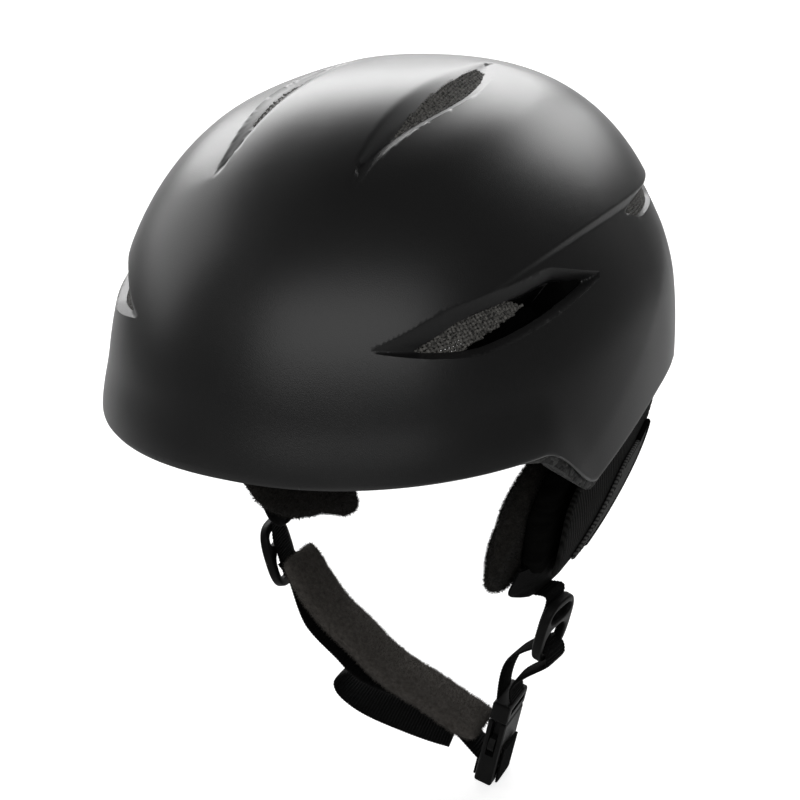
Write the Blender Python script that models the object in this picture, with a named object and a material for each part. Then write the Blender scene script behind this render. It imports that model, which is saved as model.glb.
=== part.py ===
"""Ski helmet: moulded shell, foam liner, ear flaps, chin strap with buckle, and size adjuster.

Metres, +Z up, front at -Y, wearer's left at +X. The origin is the middle of the head space,
on the mid-plane, a little below the brow edge.
"""
import functools
import math

import bmesh
import bpy
from mathutils import Matrix, Vector

# Clearances
FIT_GAP = 0.0003
LAYER_GAP = 0.0005
FOAM_INNER_GAP = 0.0010

# Outer dome: a superellipsoid with its own front and back lengths
HALF_WIDTH = 0.115
FRONT_LENGTH = 0.158
BACK_LENGTH = 0.130
CROWN_HEIGHT = 0.158
PLAN_POWER = 2.22
HEIGHT_POWER = 2.58
SHELL_WALL = 0.0022

# Foam liner
FOAM_SIDE = 0.0245
FOAM_FRONT = 0.0295
FOAM_BACK = 0.0295
FOAM_TOP = 0.0275
FOAM_LIP = 0.0006
FOAM_LIP_AT_EAR = 0.0045

# Lower edge of the shell: height at the brow, ear lobe, ear arch and nape
BROW_Z = 0.0315
NOTCH_FRONT_Y = -0.092
LOBE_Y = -0.060
LOBE_Z = 0.0102
ARCH_Y = 0.030
ARCH_Z = 0.0290
NAPE_Z = 0.0040
NAPE_Y = 0.125
BRIM_FLARE = 0.0022
BRIM_FLARE_HEIGHT = 0.024

# Raised cap: its step line climbs from the side vent's tip to the back
STEP_TIP_Y = -0.135
STEP_TIP_Z = 0.078
STEP_LEVEL_Y = 0.010
STEP_LEVEL_Z = 0.108
STEP_POWER = 2.7
STEP_DEPTH = 0.0030
STEP_RUN = 0.006
STEP_FADE = 0.045

# Rear lower facet, turned in below a crease that runs down to the ear lobe
CREASE_FOOT_Y = -0.071
CREASE_FOOT_Z = 0.023
CREASE_SLOPE = 0.575
CREASE_TOP_Z = 0.085
FACET_SLOPE = 0.075

# Side vents, as outlines seen from the side (y, z)
SIDE_VENT_OUTLINE = (
    (-0.135, 0.078), (-0.102, 0.0925), (-0.066, 0.0975), (-0.039, 0.089), (-0.106, 0.076), (-0.125, 0.076))
SIDE_VENT_CHAMFER = 0.003
SIDE_VENT_DEPTH = 0.0045

# Rear vents, as outlines seen from the side (y, z)
REAR_VENT_OUTLINE = (
    (-0.002, 0.1045), (0.014, 0.1075), (0.058, 0.1075), (0.066, 0.1035), (0.052, 0.099), (0.014, 0.099))
REAR_VENT_CHAMFER = 0.0012
REAR_VENT_DEPTH = 0.003

# Top scoops: a lens between a soft inner edge and a crisp outer edge, with a slot along the outer edge
SCOOP_TIP_X = 0.030
SCOOP_FRONT_Y = -0.106
SCOOP_BACK_Y = 0.020
SCOOP_OUTER_BULGE = 0.012
SCOOP_INNER_BULGE = 0.0035
SCOOP_SKEW = 1.35
SCOOP_DEPTH = 0.0045
SLOT_FRONT_Y = -0.081
SLOT_BACK_Y = -0.006
SLOT_FRONT_X = 0.0335
SLOT_BACK_X = 0.0365
SLOT_LIP = 0.0010

# Vent mesh
MESH_GAP = 0.0005
MESH_THICKNESS = 0.0008
MESH_SET_BACK = 0.0007

# Comfort pads in the liner
PAD_THICKNESS = 0.008
PAD_EDGE = 0.002

# Ear flaps: one leaning, slightly bowed outer face; the layers lie inwards of it
FLAP_INSET = 0.021
FLAP_LEAN = 0.22
FLAP_RIGHT_IN = 0.006
FLAP_RIGHT_BACK = 0.006
FLAP_BOW = 0.9
FLAP_CUSHION_ENDS_Y = (-0.064, 0.064)
FLAP_GUSSET_ENDS_Y = (-0.050, 0.072)
FLAP_COVER_ENDS_Y = (-0.031, 0.080)
FLAP_TOP_Z = 0.0165
FLAP_BOTTOM_Z = -0.062
COVER_THICKNESS = 0.0020
POCKET_THICKNESS = 0.0015
GUSSET_THICKNESS = 0.0096
CUSHION_THICKNESS = 0.0140
CLIP_FRONT_Y = -0.008
CLIP_BACK_Y = 0.040
CLIP_HEIGHT = 0.015
CLIP_THICKNESS = 0.0018

# Webbing and sliders
STRAP_Y = -0.012
WEB_WIDTH = 0.016
WEB_THICKNESS = 0.0018
TONGUE_WIDTH = 0.046
SLIDER_LEFT = (0.073, -0.0890)
SLIDER_RIGHT = (-0.0715, -0.0820)
SLIDER_LEAN_DEG = 20.4
SLIDER_WIDTH = 0.029
SLIDER_HEIGHT = 0.034
SLIDER_BAND = 0.0042
SLIDER_THICKNESS = 0.0046
SLIDER_BAR = 0.0036
SLIDER_BAR_Z = 0.0035
SLIDER_SQUARENESS = 3.6

# Chin pad, along its middle line (x, z) from the right slider to the buckle
CHIN_LINE = (
    (-0.0575, -0.0845), (-0.050, -0.097), (-0.040, -0.109), (-0.028, -0.1185), (-0.0175, -0.1275),
    (-0.005, -0.1345), (0.0115, -0.1405), (0.0285, -0.148), (0.0405, -0.1515))
TAIL_LINE = (
    (-0.0345, -0.1385), (-0.0385, -0.1450), (-0.0375, -0.1495), (-0.0320, -0.1525), (-0.0220, -0.1560),
    (-0.0020, -0.1587), (0.0130, -0.1602), (0.0240, -0.1604))
TAIL_TILT_DEG = 28.0
CHIN_PAD_WIDTH = 0.028
CHIN_PAD_THICKNESS = 0.009

# Buckle: middle of its top edge, lean and sizes
BUCKLE_TOP_X = 0.053
BUCKLE_TOP_Z = -0.130
BUCKLE_LEAN_DEG = 12.3
BUCKLE_WIDTH = 0.023
BUCKLE_THICKNESS = 0.0090
TONGUE_BASE = 0.0100
SOCKET_LENGTH = 0.0370
CAVITY_DEPTH = 0.0200
CAVITY_THICKNESS = 0.0042
BLADE_WIDTH = 0.0046
BLADE_LENGTH = 0.0170
PRONG_LENGTH = 0.0175
PRONG_WIDTH = 0.0024
PRONG_OFFSET = 0.0072
PRONG_PAD_REACH = 0.0042

# Size adjuster at the nape
DIAL_Y = 0.0965
DIAL_Z = -0.016
HOUSING_WIDTH = 0.046
HOUSING_DEPTH = 0.011
HOUSING_HEIGHT = 0.026
CHANNEL_DEPTH = 0.0052
CHANNEL_HEIGHT = 0.0196
PINION_TEETH = 12
PINION_RADIUS = 0.005
TOOTH_ADDENDUM = 0.0007
TOOTH_WIDTH = 0.0009
RACK_BODY = 0.0024
RACK_LENGTH = 0.034
BAND_HEIGHT = 0.012
BAND_THICKNESS = 0.0018
BAND_SPAN_X = 0.050
BAND_REACH_Y = 0.024
KNOB_RADIUS = 0.015
KNOB_DEPTH = 0.008
KNOB_RIBS = 18
KNOB_RIB_DEPTH = 0.0012
SHAFT_RADIUS = 0.0025
SHAFT_CLEARANCE = 0.00005
HANGER_X = 0.015
HANGER_WIDTH = 0.009
HANGER_THICKNESS = 0.0016
HANGER_TOP_Z = 0.024
NAPE_PAD_THICKNESS = 0.006

# Mesh resolution
SHELL_RINGS = 9
SHELL_SEGMENTS = 56

OUTER = (HALF_WIDTH, FRONT_LENGTH, BACK_LENGTH, CROWN_HEIGHT)
FOAM_OUTER_DEPTH = SHELL_WALL + FIT_GAP
HEAD = (
    HALF_WIDTH - FOAM_OUTER_DEPTH - FOAM_SIDE, FRONT_LENGTH - FOAM_OUTER_DEPTH - FOAM_FRONT,
    BACK_LENGTH - FOAM_OUTER_DEPTH - FOAM_BACK, CROWN_HEIGHT - FOAM_OUTER_DEPTH - FOAM_TOP)

COLOURS = {
    "shell": ((0.012, 0.012, 0.012), 0.40), "foam": ((0.045, 0.045, 0.045), 0.85),
    "mesh": ((0.10, 0.10, 0.10), 0.7), "fleece": ((0.050, 0.047, 0.044), 0.95),
    "cloth": ((0.045, 0.045, 0.047), 0.85), "gusset": ((0.012, 0.012, 0.012), 0.8),
    "webbing": ((0.018, 0.018, 0.018), 0.75), "plastic": ((0.022, 0.022, 0.022), 0.4)}


def clear_scene():
    for old in list(bpy.data.objects):
        bpy.data.objects.remove(old, do_unlink=True)


def new_collection(name):
    collection = bpy.data.collections.new(name)
    bpy.context.scene.collection.children.link(collection)
    return collection


clear_scene()
HELMET = new_collection("ski_helmet")
CUTTERS = new_collection("cutters")


def material_for(node, finish):
    colour, roughness = COLOURS[finish]
    material = bpy.data.materials.new(node)
    material.use_nodes = True
    shader = material.node_tree.nodes["Principled BSDF"]
    shader.inputs["Base Color"].default_value = (*colour, 1.0)
    shader.inputs["Roughness"].default_value = roughness
    shader.inputs["Metallic"].default_value = 0.0
    return material


def add_node(name, bm, finish, matrix=None):
    """Finish a mesh: outward faces, smooth shading, own material, in the helmet's collection."""
    bmesh.ops.recalc_face_normals(bm, faces=bm.faces)
    mesh = bpy.data.meshes.new(name)
    bm.to_mesh(mesh)
    bm.free()
    mesh.shade_smooth()
    mesh.set_sharp_from_angle(angle=math.radians(35))
    mesh.materials.append(material_for(name, finish))
    node = bpy.data.objects.new(name, mesh)
    if matrix is not None:
        node.matrix_world = matrix
    HELMET.objects.link(node)
    return node


def loft(name, rings, finish, tips=None):
    """A closed solid through rings of equal length, capped flat or with a fan to a tip at each end."""
    bm = bmesh.new()
    rows = [[bm.verts.new(point) for point in ring] for ring in rings]
    count = len(rows[0])
    for lower, upper in zip(rows, rows[1:]):
        for k in range(count):
            after = (k + 1) % count
            bm.faces.new((lower[k], lower[after], upper[after], upper[k]))
    if tips is None:
        bm.faces.new(rows[0])
        bm.faces.new(rows[-1])
    else:
        for row, tip in ((rows[0], tips[0]), (rows[-1], tips[1])):
            middle = bm.verts.new(tip)
            for k in range(count):
                bm.faces.new((row[k], row[(k + 1) % count], middle))
    return add_node(name, bm, finish)


def smoothstep(low, high, value):
    t = min(max((value - low) / (high - low), 0.0), 1.0)
    return t * t * (3 - 2 * t)


def smooth_path(points, steps, closed=False):
    """Catmull-Rom points through a short list of points."""
    count = len(points)
    last = count if closed else count - 1
    path = []
    for k in range(last):
        near = [points[(k + j) % count] if closed else points[min(max(k + j, 0), count - 1)] for j in (-1, 0, 1, 2)]
        for step in range(steps):
            t = step / steps
            weights = (
                (-t + 2 * t ** 2 - t ** 3) / 2, (2 - 5 * t ** 2 + 3 * t ** 3) / 2,
                (t + 4 * t ** 2 - 3 * t ** 3) / 2, (t ** 3 - t ** 2) / 2)
            path.append(tuple(sum(w * p[axis] for w, p in zip(weights, near)) for axis in range(len(points[0]))))
    if not closed:
        path.append(tuple(points[-1]))
    return path


# The dome and the shell's surface

def dome_level(point, dome):
    """1 on the dome's surface, less inside it."""
    half_width, front, back, top = dome
    length = front if point[1] < 0 else back
    plan = (abs(point[0]) / half_width) ** PLAN_POWER + (abs(point[1]) / length) ** PLAN_POWER
    height = (abs(point[2]) / top) ** HEIGHT_POWER
    return (plan ** (HEIGHT_POWER / PLAN_POWER) + height) ** (1 / HEIGHT_POWER)


def dome_point(polar, bearing):
    """Point on the outer dome, by the angle from the crown and the bearing from the front towards +X."""
    side = math.sin(polar) * math.sin(bearing)
    along = -math.sin(polar) * math.cos(bearing)
    length = FRONT_LENGTH if along < 0 else BACK_LENGTH
    point = Vector((HALF_WIDTH * side, length * along, CROWN_HEIGHT * math.cos(polar)))
    return point / dome_level(point, OUTER)


def dome_x(y, z, dome):
    """Half-width of a dome at a given y and z."""
    half_width, front, back, top = dome
    length = front if y < 0 else back
    plan = (1 - (abs(z) / top) ** HEIGHT_POWER) ** (PLAN_POWER / HEIGHT_POWER)
    return half_width * max(plan - (abs(y) / length) ** PLAN_POWER, 0.0) ** (1 / PLAN_POWER)


def dome_y_back(x, z, dome):
    """Distance to the back of a dome at a given x and z."""
    half_width, front, back, top = dome
    plan = (1 - (abs(z) / top) ** HEIGHT_POWER) ** (PLAN_POWER / HEIGHT_POWER)
    return back * max(plan - (abs(x) / half_width) ** PLAN_POWER, 0.0) ** (1 / PLAN_POWER)


def rim_height(y):
    """Height of the shell's lower edge: level brow, ear lobe, arch over the ear, nape."""
    if y < LOBE_Y:
        return BROW_Z + (LOBE_Z - BROW_Z) * smoothstep(NOTCH_FRONT_Y, LOBE_Y, y)
    if y < ARCH_Y:
        t = (ARCH_Y - y) / (ARCH_Y - LOBE_Y)
        return ARCH_Z + (LOBE_Z - ARCH_Z) * t * t
    return ARCH_Z + (NAPE_Z - ARCH_Z) * smoothstep(ARCH_Y, NAPE_Y, y)


@functools.lru_cache(maxsize=None)
def rim_polar(bearing):
    low, high = 0.5, math.pi / 2
    for _ in range(40):
        middle = (low + high) / 2
        point = dome_point(middle, bearing)
        if point.z > rim_height(point.y):
            low = middle
        else:
            high = middle
    return low


def chart_point(u, v):
    """The dome as a flat disc: centre at the crown, edge at the rim, front at -v."""
    radius = math.hypot(u, v)
    bearing = math.atan2(u, -v)
    return dome_point(radius * rim_polar(bearing), bearing)


def edge_distances(outline, a, b):
    """Signed distances to the edges of a convex outline listed clockwise, inside positive."""
    distances = []
    for (a0, b0), (a1, b1) in zip(outline, outline[1:] + outline[:1]):
        run, rise = a1 - a0, b1 - b0
        distances.append((rise * (a - a0) - run * (b - b0)) / math.hypot(run, rise))
    return distances


def chamfer_depth(outline, chamfer, depth, a, b):
    inside = min(edge_distances(outline, a, b))
    return depth * min(max(inside / chamfer, 0.0), 1.0)


def step_height(y):
    t = min(max((STEP_LEVEL_Y - y) / (STEP_LEVEL_Y - STEP_TIP_Y), 0.0), 1.0)
    return STEP_LEVEL_Z + (STEP_TIP_Z - STEP_LEVEL_Z) * t ** STEP_POWER


def step_inset(point):
    below = step_height(point.y) - point.z
    grow = smoothstep(STEP_TIP_Y, STEP_LEVEL_Y, point.y)
    return STEP_DEPTH * grow * smoothstep(0, STEP_RUN, below) * (1 - smoothstep(STEP_RUN, STEP_FADE, below))


def facet_inset(point):
    crease = min(CREASE_FOOT_Z + CREASE_SLOPE * (point.y - CREASE_FOOT_Y), CREASE_TOP_Z)
    return FACET_SLOPE * max(crease - point.z, 0.0)


def brim_flare(point):
    above = point.z - rim_height(point.y)
    front = 1 - smoothstep(NOTCH_FRONT_Y, LOBE_Y, point.y)
    return BRIM_FLARE * front * (1 - smoothstep(0, BRIM_FLARE_HEIGHT, above))


def scoop_share(y):
    return min(max((y - SCOOP_FRONT_Y) / (SCOOP_BACK_Y - SCOOP_FRONT_Y), 0.0), 1.0)


def scoop_outer_x(y):
    return SCOOP_TIP_X + SCOOP_OUTER_BULGE * math.sin(math.pi * scoop_share(y) ** SCOOP_SKEW)


def scoop_inner_x(y):
    return SCOOP_TIP_X - SCOOP_INNER_BULGE * math.sin(math.pi * scoop_share(y))


def scoop_depth(point):
    outer, inner = scoop_outer_x(point.y), scoop_inner_x(point.y)
    x = abs(point.x)
    if x <= inner or x >= outer - FIT_GAP or outer - inner < FIT_GAP:
        return 0.0
    return SCOOP_DEPTH * math.sin(math.pi * scoop_share(point.y)) ** 0.5 * smoothstep(inner, outer, x)


def relief(point):
    """How far the shell's outer face stands out from the plain dome."""
    return (
        brim_flare(point) - step_inset(point) - facet_inset(point) - scoop_depth(point)
        - chamfer_depth(SIDE_VENT_OUTLINE, SIDE_VENT_CHAMFER, SIDE_VENT_DEPTH, point.y, point.z)
        - chamfer_depth(REAR_VENT_OUTLINE, REAR_VENT_CHAMFER, REAR_VENT_DEPTH, point.y, point.z))


def shell_point(base, depth):
    """Point at a depth below the shell's outer face, on the ray from the origin."""
    return base + base.normalized() * (relief(base) - depth)


def head_point(base, depth):
    """Point at a depth inwards of the liner's head form, on the ray from the origin."""
    ray = base.normalized()
    return ray * (1 / dome_level(ray, HEAD) - depth)


# Vent outlines cut into the dome's disc

def slot_inner_x(y):
    share = (y - SLOT_FRONT_Y) / (SLOT_BACK_Y - SLOT_FRONT_Y)
    return SLOT_FRONT_X + (SLOT_BACK_X - SLOT_FRONT_X) * share


def slot_levels(point):
    """Distances inside the top slot from its inner edge, outer edge, front and back."""
    x = abs(point.x)
    outer = scoop_outer_x(point.y) - SLOT_LIP
    return [x - slot_inner_x(point.y), outer - x, point.y - SLOT_FRONT_Y, SLOT_BACK_Y - point.y]


def side_vent_levels(point):
    return [d - SIDE_VENT_CHAMFER for d in edge_distances(SIDE_VENT_OUTLINE, point.y, point.z)]


def rear_vent_levels(point):
    return [d - REAR_VENT_CHAMFER for d in edge_distances(REAR_VENT_OUTLINE, point.y, point.z)]


def near_outline(outline, margin):
    ys = [p[0] for p in outline]
    zs = [p[1] for p in outline]
    low_y, high_y, low_z, high_z = min(ys) - margin, max(ys) + margin, min(zs) - margin, max(zs) + margin
    return lambda p: low_y < p.y < high_y and low_z < p.z < high_z


def near_scoop(point):
    reach = 0.010
    along = SCOOP_FRONT_Y - reach < point.y < SCOOP_BACK_Y + reach
    return along and abs(abs(point.x) - SCOOP_TIP_X) < SCOOP_OUTER_BULGE + reach


def cut_disc(bm, level, near):
    """Split the disc's faces along level = 0, on the faces near the feature."""
    for vert in bm.verts:
        vert.co.z = level(chart_point(vert.co.x, vert.co.y))
    faces = []
    for face in bm.faces:
        centre = face.calc_center_median()
        if near(chart_point(centre.x, centre.y)):
            faces.append(face)
    edges = {edge for face in faces for edge in face.edges}
    verts = {vert for face in faces for vert in face.verts}
    bmesh.ops.bisect_plane(
        bm, geom=[*verts, *edges, *faces], dist=0.0002, plane_co=(0, 0, 0), plane_no=(0, 0, 1))
    for vert in bm.verts:
        vert.co.z = 0.0


def disc_with_vents():
    """Rings and segments of the dome, cut along the vents, with the openings removed."""
    bm = bmesh.new()
    bmesh.ops.create_circle(bm, cap_ends=True, cap_tris=True, radius=1.0 / SHELL_RINGS, segments=SHELL_SEGMENTS)
    rim = [edge for edge in bm.edges if edge.is_boundary]
    for ring in range(2, SHELL_RINGS + 1):
        grown = bmesh.ops.extrude_edge_only(bm, edges=rim)["geom"]
        rim = [part for part in grown if isinstance(part, bmesh.types.BMEdge)]
        for vert in {vert for edge in rim for vert in edge.verts}:
            vert.co *= ring / (ring - 1)
    facet_reach = 0.010
    side_near = near_outline(SIDE_VENT_OUTLINE, facet_reach)
    rear_near = near_outline(REAR_VENT_OUTLINE, facet_reach)
    for k in range(len(SIDE_VENT_OUTLINE)):
        cut_disc(bm, lambda p: edge_distances(SIDE_VENT_OUTLINE, p.y, p.z)[k], side_near)
        cut_disc(bm, lambda p: side_vent_levels(p)[k], side_near)
    for k in range(len(REAR_VENT_OUTLINE)):
        cut_disc(bm, lambda p: rear_vent_levels(p)[k], rear_near)
    cut_disc(bm, lambda p: abs(p.x) - scoop_outer_x(p.y), near_scoop)
    for k in range(4):
        cut_disc(bm, lambda p: slot_levels(p)[k], near_scoop)
    openings = []
    for face in bm.faces:
        centre = face.calc_center_median()
        point = chart_point(centre.x, centre.y)
        if min(side_vent_levels(point)) > 0 or min(rear_vent_levels(point)) > 0 or min(slot_levels(point)) > 0:
            openings.append(face)
    bmesh.ops.delete(bm, geom=openings, context="FACES")
    bmesh.ops.remove_doubles(bm, verts=bm.verts, dist=0.0004)
    bmesh.ops.dissolve_degenerate(bm, edges=bm.edges, dist=0.0004)
    bmesh.ops.triangulate(bm, faces=bm.faces)
    return bm


def foam_lip(y):
    ear = smoothstep(NOTCH_FRONT_Y - 0.012, NOTCH_FRONT_Y + 0.010, y) * (1 - smoothstep(LOBE_Y, LOBE_Y + 0.02, y))
    return FOAM_LIP + (FOAM_LIP_AT_EAR - FOAM_LIP) * ear


def make_wall(name, disc, finish, outer, inner):
    """A closed wall from the disc: one face placed by outer(), the other by inner()."""
    bm = disc.copy()
    grown = bmesh.ops.extrude_face_region(bm, geom=bm.faces[:], use_keep_orig=True)["geom"]
    inner_verts = {part for part in grown if isinstance(part, bmesh.types.BMVert)}
    for vert in bm.verts:
        u, v = vert.co.x, vert.co.y
        place = inner if vert in inner_verts else outer
        vert.co = place(chart_point(u, v), math.hypot(u, v))
    return add_node(name, bm, finish)


def on_rim(radius):
    return radius > 1 - 0.5 / SHELL_RINGS


def foam_base(base, radius):
    """The liner reaches a little below the shell's edge, most at the ear notch."""
    if not on_rim(radius):
        return base
    return level_point(base, base.z - foam_lip(base.y), OUTER)


def level_point(base, z, dome):
    """Point on a dome at a given height, straight in or out from the upright axis."""
    low, high = 0.3, 1.5
    for _ in range(40):
        share = (low + high) / 2
        if dome_level((base.x * share, base.y * share, z), dome) < 1:
            low = share
        else:
            high = share
    return Vector((base.x * low, base.y * low, z))


def foam_inner(base, radius):
    """The liner's inner face, with a level lower edge."""
    if not on_rim(radius):
        return head_point(base, 0.0)
    return level_point(base, base.z - foam_lip(base.y), HEAD)


def make_shell_and_foam():
    disc = disc_with_vents()
    make_wall("outer_shell", disc, "shell", lambda base, r: shell_point(base, 0.0),
              lambda base, r: shell_point(base, SHELL_WALL))
    make_wall("eps_liner", disc, "foam", lambda base, r: shell_point(foam_base(base, r), FOAM_OUTER_DEPTH),
              foam_inner)
    disc.free()


# Vent mesh panels

def make_panel(name, columns, side):
    """A thin curved panel; each column lists base points on the dome from one long edge to the other."""
    set_back = FOAM_OUTER_DEPTH + MESH_SET_BACK
    rings = []
    for column in columns:
        front = [shell_point(base, set_back) for base in column]
        back = [shell_point(base, set_back + MESH_THICKNESS) for base in reversed(column)]
        rings.append([Vector((side * p.x, p.y, p.z)) for p in front + back])
    loft(name, rings, "mesh")


def outline_columns(outline, inset, count):
    """Upright columns of base points across an outline seen from the side."""
    inside = inset + MESH_GAP
    ys = [y for y, z in outline]
    low, high = min(ys), max(ys)
    spans = []
    samples = 200
    for k in range(samples + 1):
        y = low + (high - low) * k / samples
        zs = [0.06 + 0.06 * j / samples for j in range(samples + 1)]
        fits = [z for z in zs if min(edge_distances(outline, y, z)) > inside]
        if len(fits) > 3:
            spans.append((y, fits[0], fits[-1]))
    chosen = [spans[round(k * (len(spans) - 1) / count)] for k in range(count + 1)]
    columns = []
    for y, z_low, z_high in chosen:
        zs = (z_low, (z_low + z_high) / 2, z_high)
        columns.append([Vector((dome_x(y, z, OUTER), y, z)) for z in zs])
    return columns


def slot_span(y):
    return slot_inner_x(y) + MESH_GAP, scoop_outer_x(y) - SLOT_LIP - MESH_GAP


def slot_columns(count):
    """Columns of base points across the top slot, from where it is wide enough for a panel."""
    front, back = SLOT_FRONT_Y + MESH_GAP, SLOT_BACK_Y - MESH_GAP
    while slot_span(front)[1] - slot_span(front)[0] < 2 * MESH_GAP:
        front += MESH_GAP
    columns = []
    for k in range(count + 1):
        y = front + (back - front) * k / count
        low, high = slot_span(y)
        column = []
        for x in (low, (low + high) / 2, high):
            flat = Vector((x, y, CROWN_HEIGHT))
            lower, upper = 0.3 * CROWN_HEIGHT, CROWN_HEIGHT
            for _ in range(40):
                flat.z = (lower + upper) / 2
                if dome_level(flat, OUTER) < 1:
                    lower = flat.z
                else:
                    upper = flat.z
            column.append(flat.copy())
        columns.append(column)
    return columns


def make_vent_meshes():
    for word, side in (("left", 1), ("right", -1)):
        make_panel("side_vent_mesh_" + word, outline_columns(SIDE_VENT_OUTLINE, SIDE_VENT_CHAMFER, 8), side)
        make_panel("rear_vent_mesh_" + word, outline_columns(REAR_VENT_OUTLINE, 1.2 * REAR_VENT_CHAMFER, 6), side)
        make_panel("top_vent_mesh_" + word, slot_columns(6), side)


# Comfort pads

def pad_profile(share):
    """Crowned thickness across a pad, low at both edges."""
    return (1 - abs(2 * share - 1) ** 3) ** 0.5


def make_pad(name, bearings, radii, columns, rows):
    """A crowned pad against the liner's head form, over a range of bearings (degrees) and disc radii."""
    rings = []
    for i in range(columns + 1):
        s = i / columns
        bearing = math.radians(bearings[0] + (bearings[1] - bearings[0]) * s)
        outer, inner = [], []
        for j in range(rows + 1):
            t = j / rows
            base = dome_point((radii[0] + (radii[1] - radii[0]) * t) * rim_polar(bearing), bearing)
            rise = PAD_EDGE + (PAD_THICKNESS - PAD_EDGE) * pad_profile(s) * pad_profile(t)
            outer.append(head_point(base, FOAM_INNER_GAP))
            inner.append(head_point(base, FOAM_INNER_GAP + rise))
        rings.append(outer + inner[::-1])
    loft(name, rings, "fleece")


def make_crown_pad():
    """A strip along the middle of the crown, between the top vents."""
    half_span, front, back = 0.13, -0.50, 0.46
    columns, rows = 10, 4
    rings = []
    for i in range(columns + 1):
        s = i / columns
        outer, inner = [], []
        for j in range(rows + 1):
            t = j / rows
            base = chart_point(half_span * (2 * t - 1), front + (back - front) * s)
            rise = PAD_EDGE + (PAD_THICKNESS - PAD_EDGE) * pad_profile(s) * pad_profile(t)
            outer.append(head_point(base, FOAM_INNER_GAP))
            inner.append(head_point(base, FOAM_INNER_GAP + rise))
        rings.append(outer + inner[::-1])
    loft("crown_pad", rings, "fleece")


def make_comfort_pads():
    make_pad("brow_pad", (-58, 58), (0.83, 0.985), 16, 4)
    make_pad("temple_pad_left", (80, 118), (0.70, 0.86), 6, 4)
    make_pad("temple_pad_right", (-118, -80), (0.70, 0.86), 6, 4)
    make_pad("back_pad", (142, 218), (0.62, 0.82), 10, 4)
    make_crown_pad()


# Ear flaps

def flap_x(y, z, side):
    """Outer face of an ear flap, measured from the mid-plane. The right one hangs further in."""
    inset = FLAP_INSET + (FLAP_RIGHT_IN if side < 0 else 0.0)
    return HALF_WIDTH - inset + FLAP_LEAN * z - FLAP_BOW * y * y


def flap_outline(ends_y):
    """Closed outline of a flap layer (y, z), whose ends lie further back on the outer layers."""
    front, back = ends_y
    top, bottom = FLAP_TOP_Z, FLAP_BOTTOM_Z
    points = (
        (front + 0.010, top - 0.016), (front, top - 0.031), (front + 0.002, bottom + 0.032),
        (front + 0.012, bottom + 0.014), (front / 2 + 0.002, bottom + 0.002), (-0.004, bottom),
        (back - 0.042, bottom + 0.002), (back - 0.018, bottom + 0.016), (back - 0.007, bottom + 0.035),
        (back, top - 0.0265), (back - 0.005, top - 0.0160), (back / 2, top), (0.000, top - 0.001),
        (front / 2, top - 0.0125))
    return smooth_path(points, 2, closed=True)


POCKET_OUTLINE = (
    (0.022, -0.024), (0.048, -0.022), (0.068, -0.023), (0.060, -0.044), (0.040, -0.057), (0.010, -0.0585),
    (-0.006, -0.056), (0.008, -0.040))


def make_flap_layer(name, outline, side, steps, finish):
    """A flap layer: each step is a share of the outline and an offset from the flap's outer face."""
    mid_y = sum(p[0] for p in outline) / len(outline)
    mid_z = sum(p[1] for p in outline) / len(outline)

    back = FLAP_RIGHT_BACK if side < 0 else 0.0

    def place(y, z, share, offset):
        ring_y = mid_y + (y - mid_y) * share + back
        ring_z = mid_z + (z - mid_z) * share
        return Vector((side * (flap_x(ring_y, ring_z, side) + offset), ring_y, ring_z))

    rings = [[place(y, z, share, offset) for y, z in outline] for share, offset in steps]
    tips = (place(mid_y, mid_z, 0.0, steps[0][1]), place(mid_y, mid_z, 0.0, steps[-1][1]))
    loft(name, rings, finish, tips)


TONGUE_FACE = -(COVER_THICKNESS + LAYER_GAP)
GUSSET_FACE = TONGUE_FACE - WEB_THICKNESS - LAYER_GAP
CUSHION_FACE = GUSSET_FACE - GUSSET_THICKNESS - LAYER_GAP


def make_ear_flap(word, side):
    inside, outside = -COVER_THICKNESS, 0.0
    cover = ((0.35, inside), (0.7, inside), (1.0, inside), (1.0, outside), (0.7, outside), (0.35, outside))
    make_flap_layer("ear_cover_" + word, flap_outline(FLAP_COVER_ENDS_Y), side, cover, "cloth")
    inside, outside = LAYER_GAP, LAYER_GAP + POCKET_THICKNESS
    pocket = ((0.5, inside), (1.0, inside), (1.0, outside), (0.5, outside))
    make_flap_layer("ear_pocket_" + word, smooth_path(POCKET_OUTLINE, 2, closed=True), side, pocket, "cloth")
    inside, outside = GUSSET_FACE - GUSSET_THICKNESS, GUSSET_FACE
    gusset = (
        (0.35, inside), (0.7, inside), (0.95, inside), (0.98, (inside + outside) / 2), (0.95, outside),
        (0.7, outside), (0.35, outside))
    make_flap_layer("ear_gusset_" + word, flap_outline(FLAP_GUSSET_ENDS_Y), side, gusset, "gusset")
    cushion = (
        (0.35, CUSHION_FACE - CUSHION_THICKNESS), (0.70, CUSHION_FACE - 0.95 * CUSHION_THICKNESS),
        (0.93, CUSHION_FACE - 0.72 * CUSHION_THICKNESS), (1.0, CUSHION_FACE - 0.40 * CUSHION_THICKNESS),
        (0.96, CUSHION_FACE - 0.08 * CUSHION_THICKNESS), (0.85, CUSHION_FACE), (0.6, CUSHION_FACE),
        (0.3, CUSHION_FACE))
    make_flap_layer("ear_pad_" + word, flap_outline(FLAP_CUSHION_ENDS_Y), side, cushion, "fleece")
    make_ear_clip(word, side)


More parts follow.
